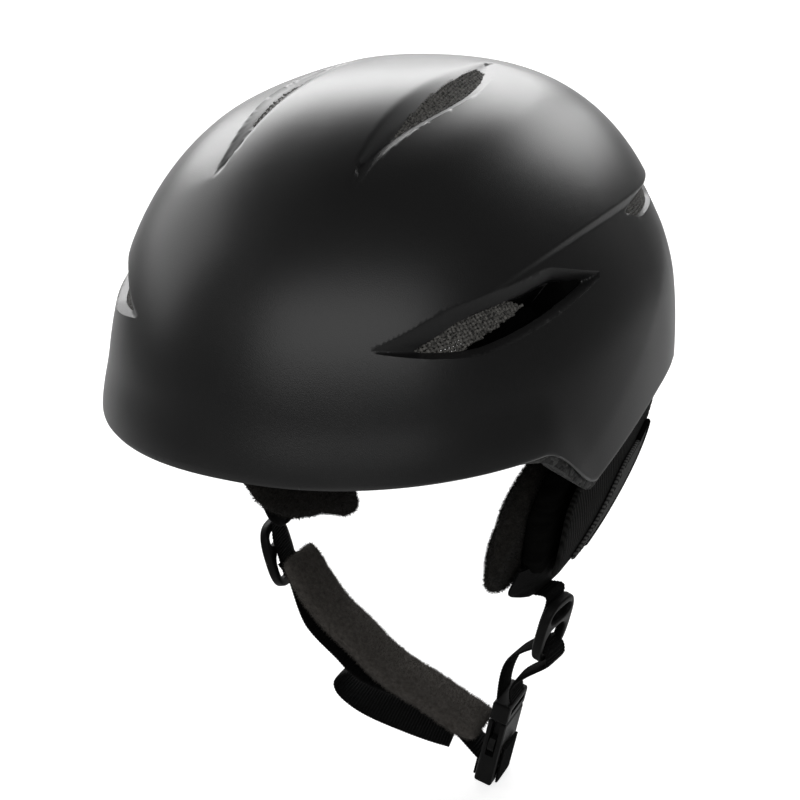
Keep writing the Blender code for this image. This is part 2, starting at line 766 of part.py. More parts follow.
def make_ear_clip(word, side):
    """Plastic strip up the liner's inner face, standing on the flap's top edge."""
    columns, rows = 5, 3
    foot = FLAP_TOP_Z + FIT_GAP
    rings = []
    for i in range(columns + 1):
        y = CLIP_FRONT_Y + (CLIP_BACK_Y - CLIP_FRONT_Y) * i / columns
        outer, inner = [], []
        for j in range(rows + 1):
            z = foot + CLIP_HEIGHT * j / rows
            x = dome_x(y, z, HEAD) - FOAM_INNER_GAP
            outer.append(Vector((side * x, y, z)))
            inner.append(Vector((side * (x - CLIP_THICKNESS), y, z)))
        rings.append(outer + inner[::-1])
    loft("ear_clip_" + word, rings, "plastic")


# Webbing, sliders and chin strap

def strap_rings(path, half_width, half_thickness, tilts=None):
    """Sections of flat webbing along a path of (x, z) points, its width along Y or tilted about the path."""
    rings = []
    for k, (x, z) in enumerate(path):
        before = path[max(k - 1, 0)]
        after = path[min(k + 1, len(path) - 1)]
        normal = Vector((before[1] - after[1], 0, after[0] - before[0])).normalized()
        tilt = math.radians(tilts[k]) if tilts else 0.0
        across = Vector((0, math.cos(tilt), 0)) + normal * math.sin(tilt)
        through = normal * math.cos(tilt) - Vector((0, math.sin(tilt), 0))
        middle = Vector((x, STRAP_Y, z))
        wide, deep = across * half_width, through * half_thickness
        rings.append([middle - wide + deep, middle + wide + deep, middle + wide - deep, middle - wide - deep])
    return rings


SLIDER_LEAN = math.radians(SLIDER_LEAN_DEG)


def slider_point(centre, across, along):
    """Distance from the mid-plane and height of a place on a slider, outwards across its face and up it."""
    x = abs(centre[0]) + across * math.cos(SLIDER_LEAN) + along * math.sin(SLIDER_LEAN)
    z = centre[1] - across * math.sin(SLIDER_LEAN) + along * math.cos(SLIDER_LEAN)
    return (x, z)


def make_upper_web(word, side, slider):
    """Sewn tongue between the flap's layers, narrowing to webbing that runs behind the slider's crossbar."""
    middle = TONGUE_FACE - WEB_THICKNESS / 2
    half = WEB_THICKNESS / 2
    slider_back = -(SLIDER_THICKNESS / 2 + FIT_GAP + half)
    low_x, low_z = slider_point(slider, slider_back, SLIDER_BAR_Z)
    top_x, top_z = slider_point(slider, slider_back, SLIDER_HEIGHT / 2)
    sewn = [(z, TONGUE_WIDTH / 2) for z in (FLAP_BOTTOM_Z + 0.026, FLAP_BOTTOM_Z + 0.012)]
    sewn.append((FLAP_BOTTOM_Z + 0.001, (TONGUE_WIDTH + WEB_WIDTH) / 4))
    stations = 4
    rings = []
    for z, half_width in sewn:
        ys = [STRAP_Y + half_width * (2 * k / stations - 1) for k in range(stations + 1)]
        outer = [Vector((side * (flap_x(y, z, side) + middle + half), y, z)) for y in ys]
        inner = [Vector((side * (flap_x(y, z, side) + middle - half), y, z)) for y in reversed(ys)]
        rings.append(outer + inner)
    leave_z = FLAP_BOTTOM_Z - 0.0012
    leave_x = flap_x(STRAP_Y, leave_z, side) + middle
    for x, z in ((leave_x, leave_z), (top_x, top_z), (low_x, low_z)):
        ys = [STRAP_Y + WEB_WIDTH / 2 * (2 * k / stations - 1) for k in range(stations + 1)]
        across = half / math.cos(SLIDER_LEAN)
        outer = [Vector((side * (x + across), y, z)) for y in ys]
        inner = [Vector((side * (x - across), y, z)) for y in reversed(ys)]
        rings.append(outer + inner)
    loft("upper_web_" + word, rings, "webbing")


def rounded_loop(half_width, half_height, middle, points=20):
    """Rounded-rectangle loop (y, z) as a superellipse."""
    loop = []
    for k in range(points):
        angle = 2 * math.pi * k / points
        c, s = math.cos(angle), math.sin(angle)
        y = half_width * math.copysign(abs(c) ** (2 / SLIDER_SQUARENESS), c)
        z = half_height * math.copysign(abs(s) ** (2 / SLIDER_SQUARENESS), s)
        loop.append((y, z + middle))
    return loop


def plate_mesh(name, loops, thickness):
    """A flat plate from closed loops, the first outside and the rest holes, extruded along local X."""
    curve = bpy.data.curves.new(name, "CURVE")
    curve.dimensions = "2D"
    curve.fill_mode = "BOTH"
    curve.extrude = thickness / 2
    curve.render_resolution_u = 0
    for loop in loops:
        spline = curve.splines.new("POLY")
        spline.points.add(len(loop) - 1)
        for point, (a, b) in zip(spline.points, loop):
            point.co = (a, b, 0, 1)
        spline.use_cyclic_u = True
    holder = bpy.data.objects.new(name + "_outline", curve)
    bpy.context.scene.collection.objects.link(holder)
    graph = bpy.context.evaluated_depsgraph_get()
    mesh = bpy.data.meshes.new_from_object(holder.evaluated_get(graph))
    bpy.data.objects.remove(holder, do_unlink=True)
    bm = bmesh.new()
    bm.from_mesh(mesh)
    bmesh.ops.remove_doubles(bm, verts=bm.verts, dist=0.00001)
    turn = Matrix(((0, 0, 1, 0), (1, 0, 0, 0), (0, 1, 0, 0), (0, 0, 0, 1)))
    bmesh.ops.transform(bm, matrix=turn, verts=bm.verts)
    return bm


def make_slider(word, side, centre):
    half_width, half_height = SLIDER_WIDTH / 2, SLIDER_HEIGHT / 2
    inner_width = half_width - SLIDER_BAND
    upper_edge, lower_edge = SLIDER_BAR_Z + SLIDER_BAR / 2, SLIDER_BAR_Z - SLIDER_BAR / 2
    top, bottom = half_height - SLIDER_BAND, -half_height + SLIDER_BAND
    loops = [rounded_loop(half_width, half_height, 0.0)]
    for low, high in ((upper_edge, top), (bottom, lower_edge)):
        loops.append(rounded_loop(inner_width, (high - low) / 2, (high + low) / 2))
    bm = plate_mesh("strap_slider_" + word, loops, SLIDER_THICKNESS)
    place = Matrix.Translation((centre[0], STRAP_Y, centre[1])) @ Matrix.Rotation(side * SLIDER_LEAN, 4, "Y")
    add_node("strap_slider_" + word, bm, "plastic", place)


def offset_path(path, distance):
    """A path shifted sideways in its plane, to the right of its direction."""
    shifted = []
    for k, (x, z) in enumerate(path):
        before = path[max(k - 1, 0)]
        after = path[min(k + 1, len(path) - 1)]
        run, rise = after[0] - before[0], after[1] - before[1]
        length = math.hypot(run, rise)
        shifted.append((x + rise / length * distance, z - run / length * distance))
    return shifted


def make_chin_pad(path):
    """Fleece sleeve: an oval section along the chin line, drawn in at both ends."""
    section_points = 12
    rings = []
    last = len(path) - 1
    for k, (x, z) in enumerate(path):
        before = path[max(k - 1, 0)]
        after = path[min(k + 1, last)]
        run, rise = after[0] - before[0], after[1] - before[1]
        length = math.hypot(run, rise)
        end_share = {0: 0.72, 1: 0.96, last - 1: 0.96, last: 0.72}.get(k, 1.0)
        ring = []
        for j in range(section_points):
            angle = 2 * math.pi * j / section_points
            c, s = math.cos(angle), math.sin(angle)
            across = CHIN_PAD_WIDTH / 2 * math.copysign(abs(c) ** 0.6, c) * (0.9 + 0.1 * end_share)
            deep = CHIN_PAD_THICKNESS / 2 * math.copysign(abs(s) ** 0.8, s) * end_share
            ring.append(Vector((x - rise / length * deep, STRAP_Y + across, z + run / length * deep)))
        rings.append(ring)
    loft("chin_pad", rings, "fleece")


def buckle_point(across, along):
    """World x and z of a place on the buckle, outwards across its face and up from its top edge."""
    lean = math.radians(BUCKLE_LEAN_DEG)
    x = BUCKLE_TOP_X + across * math.cos(lean) + along * math.sin(lean)
    z = BUCKLE_TOP_Z - across * math.sin(lean) + along * math.cos(lean)
    return (x, z)


def make_chin_strap():
    path = smooth_path(CHIN_LINE, 2)
    make_chin_pad(path)
    web_offset = CHIN_PAD_THICKNESS / 2 + FIT_GAP + WEB_THICKNESS / 2
    under = offset_path(path, web_offset)
    half = WEB_THICKNESS / 2
    slider_inner = -(SLIDER_THICKNESS / 2 + FIT_GAP + half)
    start_x, start_z = slider_point(SLIDER_RIGHT, slider_inner, -SLIDER_BAR_Z)
    socket_face = -(BUCKLE_THICKNESS / 2 + FIT_GAP + half)
    end_top = buckle_point(socket_face, -TONGUE_BASE - 0.55 * SOCKET_LENGTH - 0.007)
    end_low = buckle_point(socket_face, -TONGUE_BASE - SOCKET_LENGTH)
    web = [(-start_x, start_z), *under[1:-2], end_top, end_low]
    loft("chin_web", strap_rings(smooth_path(web[:2], 2)[:-1] + web[1:], WEB_WIDTH / 2, half), "webbing")
    fold_face = -socket_face
    fold = [buckle_point(fold_face, -TONGUE_BASE - SOCKET_LENGTH * share) for share in (0.42, 0.7, 0.98)]
    loft("web_fold", strap_rings(fold, WEB_WIDTH / 2, half), "webbing")
    make_tail(under)


def make_tail(under):
    """Spare webbing: leaves the underside of the chin web, turns back in a loop and runs under the pad."""
    lift_off = offset_path(under, WEB_THICKNESS + FIT_GAP)
    path = smooth_path([lift_off[6], *TAIL_LINE], 2)
    turn = len(path) // 2
    tilts = [TAIL_TILT_DEG * smoothstep(turn - 2, turn + 4, k) for k in range(len(path))]
    loft("tail_loop", strap_rings(path, WEB_WIDTH / 2, WEB_THICKNESS / 2, tilts), "webbing")


def make_lower_web():
    """Webbing loop round the left slider's lower band and down to the buckle's tongue."""
    half = WEB_THICKNESS / 2
    bar_x, bar_z = slider_point(SLIDER_LEFT, 0.0, -SLIDER_HEIGHT / 2 + 0.6 * SLIDER_BAND)
    reach = math.hypot(SLIDER_THICKNESS, SLIDER_BAND) / 2 + FIT_GAP + half + 0.0010
    turn = [
        (bar_x + reach * math.cos(math.radians(a)), bar_z + reach * math.sin(math.radians(a)))
        for a in (-50, -10, 30, 65, 100)]
    right_foot = buckle_point(BUCKLE_THICKNESS / 2 - half, 1.3 * FIT_GAP)
    left_foot = buckle_point(-BUCKLE_THICKNESS / 2 + half, 1.3 * FIT_GAP)
    right_mid = (right_foot[0] + 0.0030, right_foot[1] + 0.0110)
    left_mid = [
        (left_foot[0] + 0.0095, left_foot[1] + 0.0275), (left_foot[0] + 0.0025, left_foot[1] + 0.0215),
        (left_foot[0] - 0.0005, left_foot[1] + 0.0130)]
    path = smooth_path([right_foot, right_mid, *turn, *left_mid, left_foot], 2)
    loft("lower_web_left", strap_rings(path, WEB_WIDTH / 2, half), "webbing")


# Buckle

BUCKLE_PLACE = (
    Matrix.Translation((BUCKLE_TOP_X, STRAP_Y, BUCKLE_TOP_Z))
    @ Matrix.Rotation(math.radians(BUCKLE_LEAN_DEG), 4, "Y"))


def block(size, centre):
    """A box as a mesh in progress."""
    bm = bmesh.new()
    bmesh.ops.create_cube(bm, size=1.0)
    bmesh.ops.scale(bm, vec=size, verts=bm.verts)
    bmesh.ops.translate(bm, vec=centre, verts=bm.verts)
    return bm


def cut_with(node, bm, name, matrix=None):
    """Take a cutter out of a node with a Boolean that stays on it."""
    mesh = bpy.data.meshes.new(name)
    bm.to_mesh(mesh)
    bm.free()
    cutter = bpy.data.objects.new(name, mesh)
    if matrix is not None:
        cutter.matrix_world = matrix
    cutter.hide_render = True
    cutter.display_type = "WIRE"
    CUTTERS.objects.link(cutter)
    modifier = node.modifiers.new(name, "BOOLEAN")
    modifier.object = cutter
    modifier.operation = "DIFFERENCE"
    modifier.solver = "EXACT"
    return modifier


def round_edges(bm, width):
    bmesh.ops.bevel(bm, geom=bm.edges[:], offset=width, segments=2, profile=0.5, affect="EDGES")


def make_buckle():
    socket_top = -TONGUE_BASE - FIT_GAP
    socket = block((BUCKLE_THICKNESS, BUCKLE_WIDTH, SOCKET_LENGTH), (0, 0, socket_top - SOCKET_LENGTH / 2))
    round_edges(socket, 0.0012)
    node = add_node("buckle_socket", socket, "plastic", BUCKLE_PLACE)
    overrun = 0.004
    mouth = block(
        (CAVITY_THICKNESS, BUCKLE_WIDTH + 2 * overrun, CAVITY_DEPTH + overrun),
        (0, 0, socket_top - CAVITY_DEPTH / 2 + overrun / 2))
    cut_with(node, mouth, "socket_mouth", BUCKLE_PLACE)
    web_slot = block(
        (BUCKLE_THICKNESS + 2 * overrun, WEB_WIDTH + 2 * FIT_GAP, 2 * WEB_THICKNESS),
        (0, 0, socket_top - SOCKET_LENGTH + 0.0065))
    cut_with(node, web_slot, "socket_web_slot", BUCKLE_PLACE)
    make_tongue()


def make_tongue():
    blade_thickness = CAVITY_THICKNESS - 2 * FIT_GAP
    base = block((BUCKLE_THICKNESS, BUCKLE_WIDTH, TONGUE_BASE), (0, 0, -TONGUE_BASE / 2))
    round_edges(base, 0.0012)
    overlap = 0.002
    blade = block(
        (blade_thickness, BLADE_WIDTH, BLADE_LENGTH + overlap),
        (0, 0, -TONGUE_BASE - BLADE_LENGTH / 2 + overlap / 2))
    node = add_node("buckle_tongue", base, "plastic", BUCKLE_PLACE)
    mesh = bpy.data.meshes.new("tongue_blade")
    blade.to_mesh(mesh)
    blade.free()
    rib = bpy.data.objects.new("tongue_blade", mesh)
    rib.matrix_world = BUCKLE_PLACE
    rib.hide_render = True
    rib.display_type = "WIRE"
    CUTTERS.objects.link(rib)
    joined = node.modifiers.new("tongue_blade", "BOOLEAN")
    joined.object = rib
    joined.operation = "UNION"
    joined.solver = "EXACT"
    slot = block((BUCKLE_THICKNESS + 0.008, WEB_WIDTH + 2 * FIT_GAP, 2 * WEB_THICKNESS), (0, 0, -0.0042))
    cut_with(node, slot, "tongue_web_slot", BUCKLE_PLACE)
    for word, way in (("front", -1), ("rear", 1)):
        make_prong(word, way, blade_thickness)


def make_prong(word, way, thickness):
    """A springy arm beside the blade, with a thumb pad that stands out at the socket's side."""
    root_z = -TONGUE_BASE - FIT_GAP
    foot_z = root_z - PRONG_LENGTH
    inner, outer = PRONG_OFFSET - PRONG_WIDTH / 2, PRONG_OFFSET + PRONG_WIDTH / 2
    pad = BUCKLE_WIDTH / 2 + 0.0012
    pad_top = foot_z + PRONG_PAD_REACH * 2
    outline = (
        (inner, root_z), (inner, foot_z), (outer, foot_z), (pad - 0.0012, foot_z + 0.0008), (pad, foot_z + 0.0028),
        (pad, pad_top - 0.0026), (pad - 0.0014, pad_top - 0.0006), (outer, pad_top), (outer, root_z))
    loop = [(way * y, z) for y, z in outline]
    bm = plate_mesh("buckle_prong_" + word, [loop], thickness - 2 * FIT_GAP)
    pivot = Matrix.Translation((0, way * PRONG_OFFSET, root_z))
    bmesh.ops.transform(bm, matrix=pivot.inverted(), verts=bm.verts)
    add_node("buckle_prong_" + word, bm, "plastic", BUCKLE_PLACE @ pivot)


# Size adjuster

def cylinder_y(radius, low, high, segments, centre_z):
    """A rod along Y."""
    bm = bmesh.new()
    bmesh.ops.create_cone(
        bm, cap_ends=True, segments=segments, radius1=radius, radius2=radius, depth=high - low)
    bmesh.ops.transform(bm, matrix=Matrix.Rotation(math.radians(90), 4, "X"), verts=bm.verts)
    bmesh.ops.translate(bm, vec=(0, (low + high) / 2, centre_z), verts=bm.verts)
    return bm


HOUSING_FRONT = DIAL_Y - HOUSING_DEPTH / 2
HOUSING_BACK = DIAL_Y + HOUSING_DEPTH / 2


def make_dial_housing():
    body = block((HOUSING_WIDTH, HOUSING_DEPTH, HOUSING_HEIGHT), (0, DIAL_Y, DIAL_Z))
    round_edges(body, 0.0015)
    node = add_node("dial_housing", body, "plastic")
    channel = block((HOUSING_WIDTH * 2, CHANNEL_DEPTH, CHANNEL_HEIGHT), (0, DIAL_Y, DIAL_Z))
    cut_with(node, channel, "band_channel")
    bore = cylinder_y(SHAFT_RADIUS + SHAFT_CLEARANCE, DIAL_Y, HOUSING_BACK + 0.01, 24, DIAL_Z)
    cut_with(node, bore, "shaft_bore")


def gear_loop(teeth, root, tip, tooth_width):
    """Outline of a small gear with narrow straight teeth, a tooth at the top."""
    loop = []
    for k in range(teeth):
        middle = math.pi / 2 + 2 * math.pi * k / teeth
        for radius, half in ((root, tooth_width * 0.75), (tip, tooth_width * 0.35)):
            loop.append((radius, middle - half / radius))
        for radius, half in ((tip, tooth_width * 0.35), (root, tooth_width * 0.75)):
            loop.append((radius, middle + half / radius))
    return [(r * math.cos(a), r * math.sin(a)) for r, a in loop]


def plate_along_y(name, loops, thickness, centre):
    bm = plate_mesh(name, loops, thickness)
    turn = Matrix(((0, 1, 0, 0), (1, 0, 0, 0), (0, 0, 1, 0), (0, 0, 0, 1)))
    bmesh.ops.transform(bm, matrix=Matrix.Translation(centre) @ turn, verts=bm.verts)
    bmesh.ops.reverse_faces(bm, faces=bm.faces)
    return bm


def make_dial():
    clear = 2 * FIT_GAP
    pinion = plate_along_y(
        "dial_pinion", [gear_loop(PINION_TEETH, PINION_RADIUS - TOOTH_ADDENDUM - FIT_GAP,
                                  PINION_RADIUS + TOOTH_ADDENDUM, TOOTH_WIDTH)],
        CHANNEL_DEPTH - 2 * clear, (0, 0, 0))
    place = Matrix.Translation((0, DIAL_Y, DIAL_Z))
    add_node("dial_pinion", pinion, "plastic", place)
    ribs = []
    for k in range(KNOB_RIBS * 2):
        angle = math.pi * k / KNOB_RIBS
        radius = KNOB_RADIUS - (KNOB_RIB_DEPTH if k % 2 else 0.0)
        ribs.append((radius * math.cos(angle), radius * math.sin(angle)))
    knob_front = HOUSING_BACK + FIT_GAP - DIAL_Y
    knob = plate_along_y("dial_knob", [ribs], KNOB_DEPTH, (0, knob_front + KNOB_DEPTH / 2, 0))
    node = add_node("dial_knob", knob, "plastic", place)
    shaft_end = (CHANNEL_DEPTH - 2 * clear) / 2 + FIT_GAP
    shaft = cylinder_y(SHAFT_RADIUS, shaft_end, knob_front + KNOB_DEPTH / 2, 24, 0.0)
    mesh = bpy.data.meshes.new("dial_shaft")
    shaft.to_mesh(mesh)
    shaft.free()
    rod = bpy.data.objects.new("dial_shaft", mesh)
    rod.matrix_world = place
    rod.hide_render = True
    rod.display_type = "WIRE"
    CUTTERS.objects.link(rod)
    joined = node.modifiers.new("dial_shaft", "BOOLEAN")
    joined.object = rod
    joined.operation = "UNION"
    joined.solver = "EXACT"


def rack_loop(way):
    """Outline (x, z) of a toothed rack over (way 1) or under (way -1) the pinion."""
    pitch = 2 * math.pi * PINION_RADIUS / PINION_TEETH
    tip = PINION_RADIUS - TOOTH_ADDENDUM
    root = PINION_RADIUS + TOOTH_ADDENDUM + FIT_GAP
    back = root + RACK_BODY
    count = int(RACK_LENGTH / 2 / pitch)
    loop = [(-RACK_LENGTH / 2, root)]
    for k in range(-count, count):
        middle = (k + 0.5) * pitch
        loop += [(middle - TOOTH_WIDTH * 0.75, root), (middle - TOOTH_WIDTH * 0.35, tip),
                 (middle + TOOTH_WIDTH * 0.35, tip), (middle + TOOTH_WIDTH * 0.75, root)]
    loop += [(RACK_LENGTH / 2, root), (RACK_LENGTH / 2, back), (-RACK_LENGTH / 2, back)]
    return [(x, way * z) for x, z in loop]


def make_band(word, side):
    """Toothed rack in the housing, joined to an arm that curves round the nape."""
    way = side
    bar = CHANNEL_DEPTH - 4 * FIT_GAP
    name = "fit_band_" + word
    rack = plate_along_y(name, [rack_loop(way)], bar, (0, DIAL_Y, DIAL_Z))
    node = add_node(name, rack, "plastic")
    root = PINION_RADIUS + TOOTH_ADDENDUM + FIT_GAP
    neck_z = DIAL_Z + way * (root + RACK_BODY / 2)
    straight = HOUSING_WIDTH / 2 + 0.010
    line = [(RACK_LENGTH / 2 - 0.006, DIAL_Y), (straight - 0.004, DIAL_Y), (straight + 0.004, DIAL_Y)]
    bend_x, bend_y = BAND_SPAN_X - straight, BAND_REACH_Y
    for k in range(1, 7):
        angle = math.radians(12 * k)
        line.append((straight + 0.004 + bend_x * math.sin(angle), DIAL_Y - bend_y * (1 - math.cos(angle))))
    rings = []
    for k, (x, y) in enumerate(line):
        before, after = line[max(k - 1, 0)], line[min(k + 1, len(line) - 1)]
        run, rise = after[0] - before[0], after[1] - before[1]
        length = math.hypot(run, rise)
        nx, ny = -rise / length * BAND_THICKNESS / 2, run / length * BAND_THICKNESS / 2
        grow = smoothstep(1, 5, k)
        half = (RACK_BODY / 2 - 0.0002) * (1 - grow) + BAND_HEIGHT / 2 * grow
        middle = neck_z * (1 - grow) + DIAL_Z * grow
        rings.append([
            Vector((side * (x + nx), y + ny, middle + half)), Vector((side * (x - nx), y - ny, middle + half)),
            Vector((side * (x - nx), y - ny, middle - half)), Vector((side * (x + nx), y + ny, middle - half))])
    arm = loft(name + "_arm", rings, "plastic")
    HELMET.objects.unlink(arm)
    CUTTERS.objects.link(arm)
    arm.hide_render = True
    arm.display_type = "WIRE"
    joined = node.modifiers.new("arm", "BOOLEAN")
    joined.object = arm
    joined.operation = "UNION"
    joined.solver = "EXACT"
    joined.use_self = True


def make_hangers():
    """Two flat straps from the liner's back wall down to the housing's top."""
    foot = DIAL_Z + HOUSING_HEIGHT / 2 + FIT_GAP
    for word, side in (("left", 1), ("right", -1)):
        rings = []
        for z in (foot, NAPE_Z, HANGER_TOP_Z * 0.6, HANGER_TOP_Z):
            ring = []
            for x in (HANGER_X - HANGER_WIDTH / 2, HANGER_X + HANGER_WIDTH / 2):
                ring.append((x, dome_y_back(x, z, HEAD) - FOAM_INNER_GAP))
            (x0, y0), (x1, y1) = ring
            rings.append([
                Vector((side * x0, y0, z)), Vector((side * x1, y1, z)),
                Vector((side * x1, y1 - HANGER_THICKNESS, z)), Vector((side * x0, y0 - HANGER_THICKNESS, z))])
        loft("cradle_hanger_" + word, rings, "plastic")


def make_nape_pad():
    """Crowned pad on the front of the housing."""
    half_x, half_z = HOUSING_WIDTH / 2 - 0.002, HOUSING_HEIGHT / 2 - 0.002
    face = HOUSING_FRONT - FIT_GAP
    rings = []
    for share, depth in ((0.6, 0.0), (0.95, 0.0), (1.0, 0.35), (0.9, 0.75), (0.55, 1.0)):
        loop = rounded_loop(half_x * share, half_z * share, DIAL_Z, 16)
        rings.append([Vector((x, face - depth * NAPE_PAD_THICKNESS, z)) for x, z in loop])
    loft("nape_pad", rings, "fleece")


make_shell_and_foam()
make_vent_meshes()
make_comfort_pads()
for flap_word, flap_side, slider_centre in (("left", 1, SLIDER_LEFT), ("right", -1, SLIDER_RIGHT)):
    make_ear_flap(flap_word, flap_side)
    make_upper_web(flap_word, flap_side, slider_centre)
    make_slider(flap_word, flap_side, slider_centre)
make_chin_strap()
make_lower_web()
make_buckle()
make_dial_housing()
make_dial()
make_band("left", 1)
make_band("right", -1)
make_hangers()
make_nape_pad()
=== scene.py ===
"""Ski helmet in a white studio: matte shell, foam liner, woven vents, fleece ear flaps and chin strap."""
import itertools
import math

import bmesh
import bpy
import numpy as np
from mathutils import Matrix, Vector


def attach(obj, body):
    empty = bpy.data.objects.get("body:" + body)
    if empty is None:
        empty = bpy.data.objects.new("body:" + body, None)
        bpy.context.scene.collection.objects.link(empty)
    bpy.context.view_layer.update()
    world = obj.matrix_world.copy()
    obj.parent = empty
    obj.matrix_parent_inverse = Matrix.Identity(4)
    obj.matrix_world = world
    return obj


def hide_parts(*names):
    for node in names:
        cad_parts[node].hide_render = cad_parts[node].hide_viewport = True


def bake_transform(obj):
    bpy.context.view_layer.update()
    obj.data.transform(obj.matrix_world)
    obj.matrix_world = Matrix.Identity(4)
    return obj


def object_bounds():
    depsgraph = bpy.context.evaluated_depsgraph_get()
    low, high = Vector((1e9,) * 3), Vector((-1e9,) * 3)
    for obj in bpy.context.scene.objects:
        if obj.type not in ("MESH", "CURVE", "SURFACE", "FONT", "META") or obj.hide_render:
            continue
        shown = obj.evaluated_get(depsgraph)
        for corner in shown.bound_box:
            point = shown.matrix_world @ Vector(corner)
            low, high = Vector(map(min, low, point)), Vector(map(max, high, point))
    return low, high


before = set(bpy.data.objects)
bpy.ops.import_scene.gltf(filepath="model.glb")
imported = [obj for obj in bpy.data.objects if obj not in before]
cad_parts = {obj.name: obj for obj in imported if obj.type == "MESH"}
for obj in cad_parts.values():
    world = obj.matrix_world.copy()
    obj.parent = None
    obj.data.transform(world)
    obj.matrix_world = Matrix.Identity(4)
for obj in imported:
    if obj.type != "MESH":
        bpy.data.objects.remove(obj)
cad_low, cad_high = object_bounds()

# Studio
# A pale paper sweep runs under the helmet and up behind it. Softboxes hang behind it and on its right, and
# a weaker one stands in front, so that the black shell shows soft grey reflections.

CAMERA_PLACE = Vector((0.2646, -0.5348, 0.2392))
CAMERA_AZIMUTH, CAMERA_ELEVATION, CAMERA_ROLL = (math.radians(a) for a in (27.054, 21.389, -1.175))
CAMERA_LENS, CAMERA_SENSOR = 63.0, 36.0
FLOOR_Z = cad_low.z - 0.0005
PAPER_FRONT, PAPER_BEND, PAPER_RADIUS, PAPER_TOP, PAPER_HALF_WIDTH = -1.7, 1.1, 0.45, 0.75, 2.2
PAPER_BEND_STEPS, PAPER_COLOUR = 12, (0.50, 0.50, 0.50, 1.0)
PAPER_GLOW, PAPER_GLOW_SPREAD, PAPER_GLOW_TOP = 0.75, (0.30, 0.38), (0.10, 0.30)
PAPER_GLOW_MIRRORED = 0.45
ROOM_GREY, ROOM_SEEN = 0.10, 0.90
STUDIO_CENTRE = Vector((0.0, 0.0, 0.08))


def towards(azimuth, elevation):
    """Direction out from the helmet: azimuth 0 is the front and 90 the wearer's left."""
    a, e = math.radians(azimuth), math.radians(elevation)
    return Vector((math.sin(a) * math.cos(e), -math.cos(a) * math.cos(e), math.sin(e)))


def make_camera():
    back = towards(math.degrees(CAMERA_AZIMUTH), math.degrees(CAMERA_ELEVATION))
    right = Vector((math.cos(CAMERA_AZIMUTH), math.sin(CAMERA_AZIMUTH), 0))
    up = back.cross(right)
    level = Matrix((right, up, back)).transposed()
    data = bpy.data.cameras.new("photo_camera")
    data.lens, data.sensor_width, data.clip_start = CAMERA_LENS, CAMERA_SENSOR, 0.01
    camera = bpy.data.objects.new("photo_camera", data)
    turned = level @ Matrix.Rotation(CAMERA_ROLL, 3, "Z")
    camera.matrix_world = Matrix.Translation(CAMERA_PLACE) @ turned.to_4x4()
    bpy.context.scene.collection.objects.link(camera)
    bpy.context.scene.camera = camera


def add_object(name, mesh):
    made = bpy.data.objects.new(name, mesh)
    bpy.context.scene.collection.objects.link(made)
    return made


def plain_finish(name, colour, roughness, specular):
    """A Principled material with its even values on the shader's own sockets."""
    finish = bpy.data.materials.new(name)
    finish.use_nodes = True
    shader = finish.node_tree.nodes["Principled BSDF"]
    shader.inputs["Base Color"].default_value = (*colour[:3], 1.0)
    shader.inputs["Roughness"].default_value = roughness
    shader.inputs["Specular IOR Level"].default_value = specular
    return finish, shader


def math_node(finish, operation, first, second):
    """One step of arithmetic on sockets or numbers; returns its result socket."""
    node = finish.node_tree.nodes.new("ShaderNodeMath")
    node.operation = operation
    for socket, value in zip(node.inputs, (first, second)):
        if isinstance(value, (int, float)):
            socket.default_value = value
        else:
            finish.node_tree.links.new(value, socket)
    return node.outputs["Value"]


def add_range(finish, value, low, high, start=0.0, end=1.0, fade="LINEAR"):
    """Map start to end onto low to high."""
    spread = finish.node_tree.nodes.new("ShaderNodeMapRange")
    spread.interpolation_type = fade
    for socket, number in (("From Min", start), ("From Max", end), ("To Min", low), ("To Max", high)):
        spread.inputs[socket].default_value = number
    finish.node_tree.links.new(value, spread.inputs["Value"])
    return spread.outputs["Result"]


def faded(finish, value, start, end):
    """1 below start, 0 beyond end."""
    return add_range(finish, value, 1.0, 0.0, start, end, "SMOOTHSTEP")


def paper_glow(finish, away, across):
    """White for what is seen, and weaker for what is mirrored, where it fades to the sides and upwards."""
    nodes, links = finish.node_tree.nodes, finish.node_tree.links
    place, path = nodes.new("ShaderNodeTexCoord"), nodes.new("ShaderNodeLightPath")

    def along(direction):
        dot = nodes.new("ShaderNodeVectorMath")
        dot.operation = "DOT_PRODUCT"
        dot.inputs[1].default_value = direction
        links.new(place.outputs["Object"], dot.inputs[0])
        return dot.outputs["Value"]
    depth = math_node(finish, "SUBTRACT", along(away), CAMERA_PLACE.dot(away))
    aside = math_node(finish, "SUBTRACT", along(across), CAMERA_PLACE.dot(across))
    spread = math_node(finish, "ABSOLUTE", math_node(finish, "DIVIDE", aside, depth), 0.0)
    glow = faded(finish, spread, *PAPER_GLOW_SPREAD)
    glow = math_node(finish, "MULTIPLY", glow, faded(finish, along(Vector((0, 0, 1))), *PAPER_GLOW_TOP))
    mirrored = math_node(finish, "MULTIPLY", path.outputs["Is Glossy Ray"], PAPER_GLOW_MIRRORED)
    mirrored = math_node(finish, "MULTIPLY", glow, mirrored)
    seen = math_node(finish, "MAXIMUM", path.outputs["Is Camera Ray"], mirrored)
    seen = math_node(finish, "MAXIMUM", seen, path.outputs["Is Transmission Ray"])
    return math_node(finish, "MULTIPLY", seen, PAPER_GLOW)


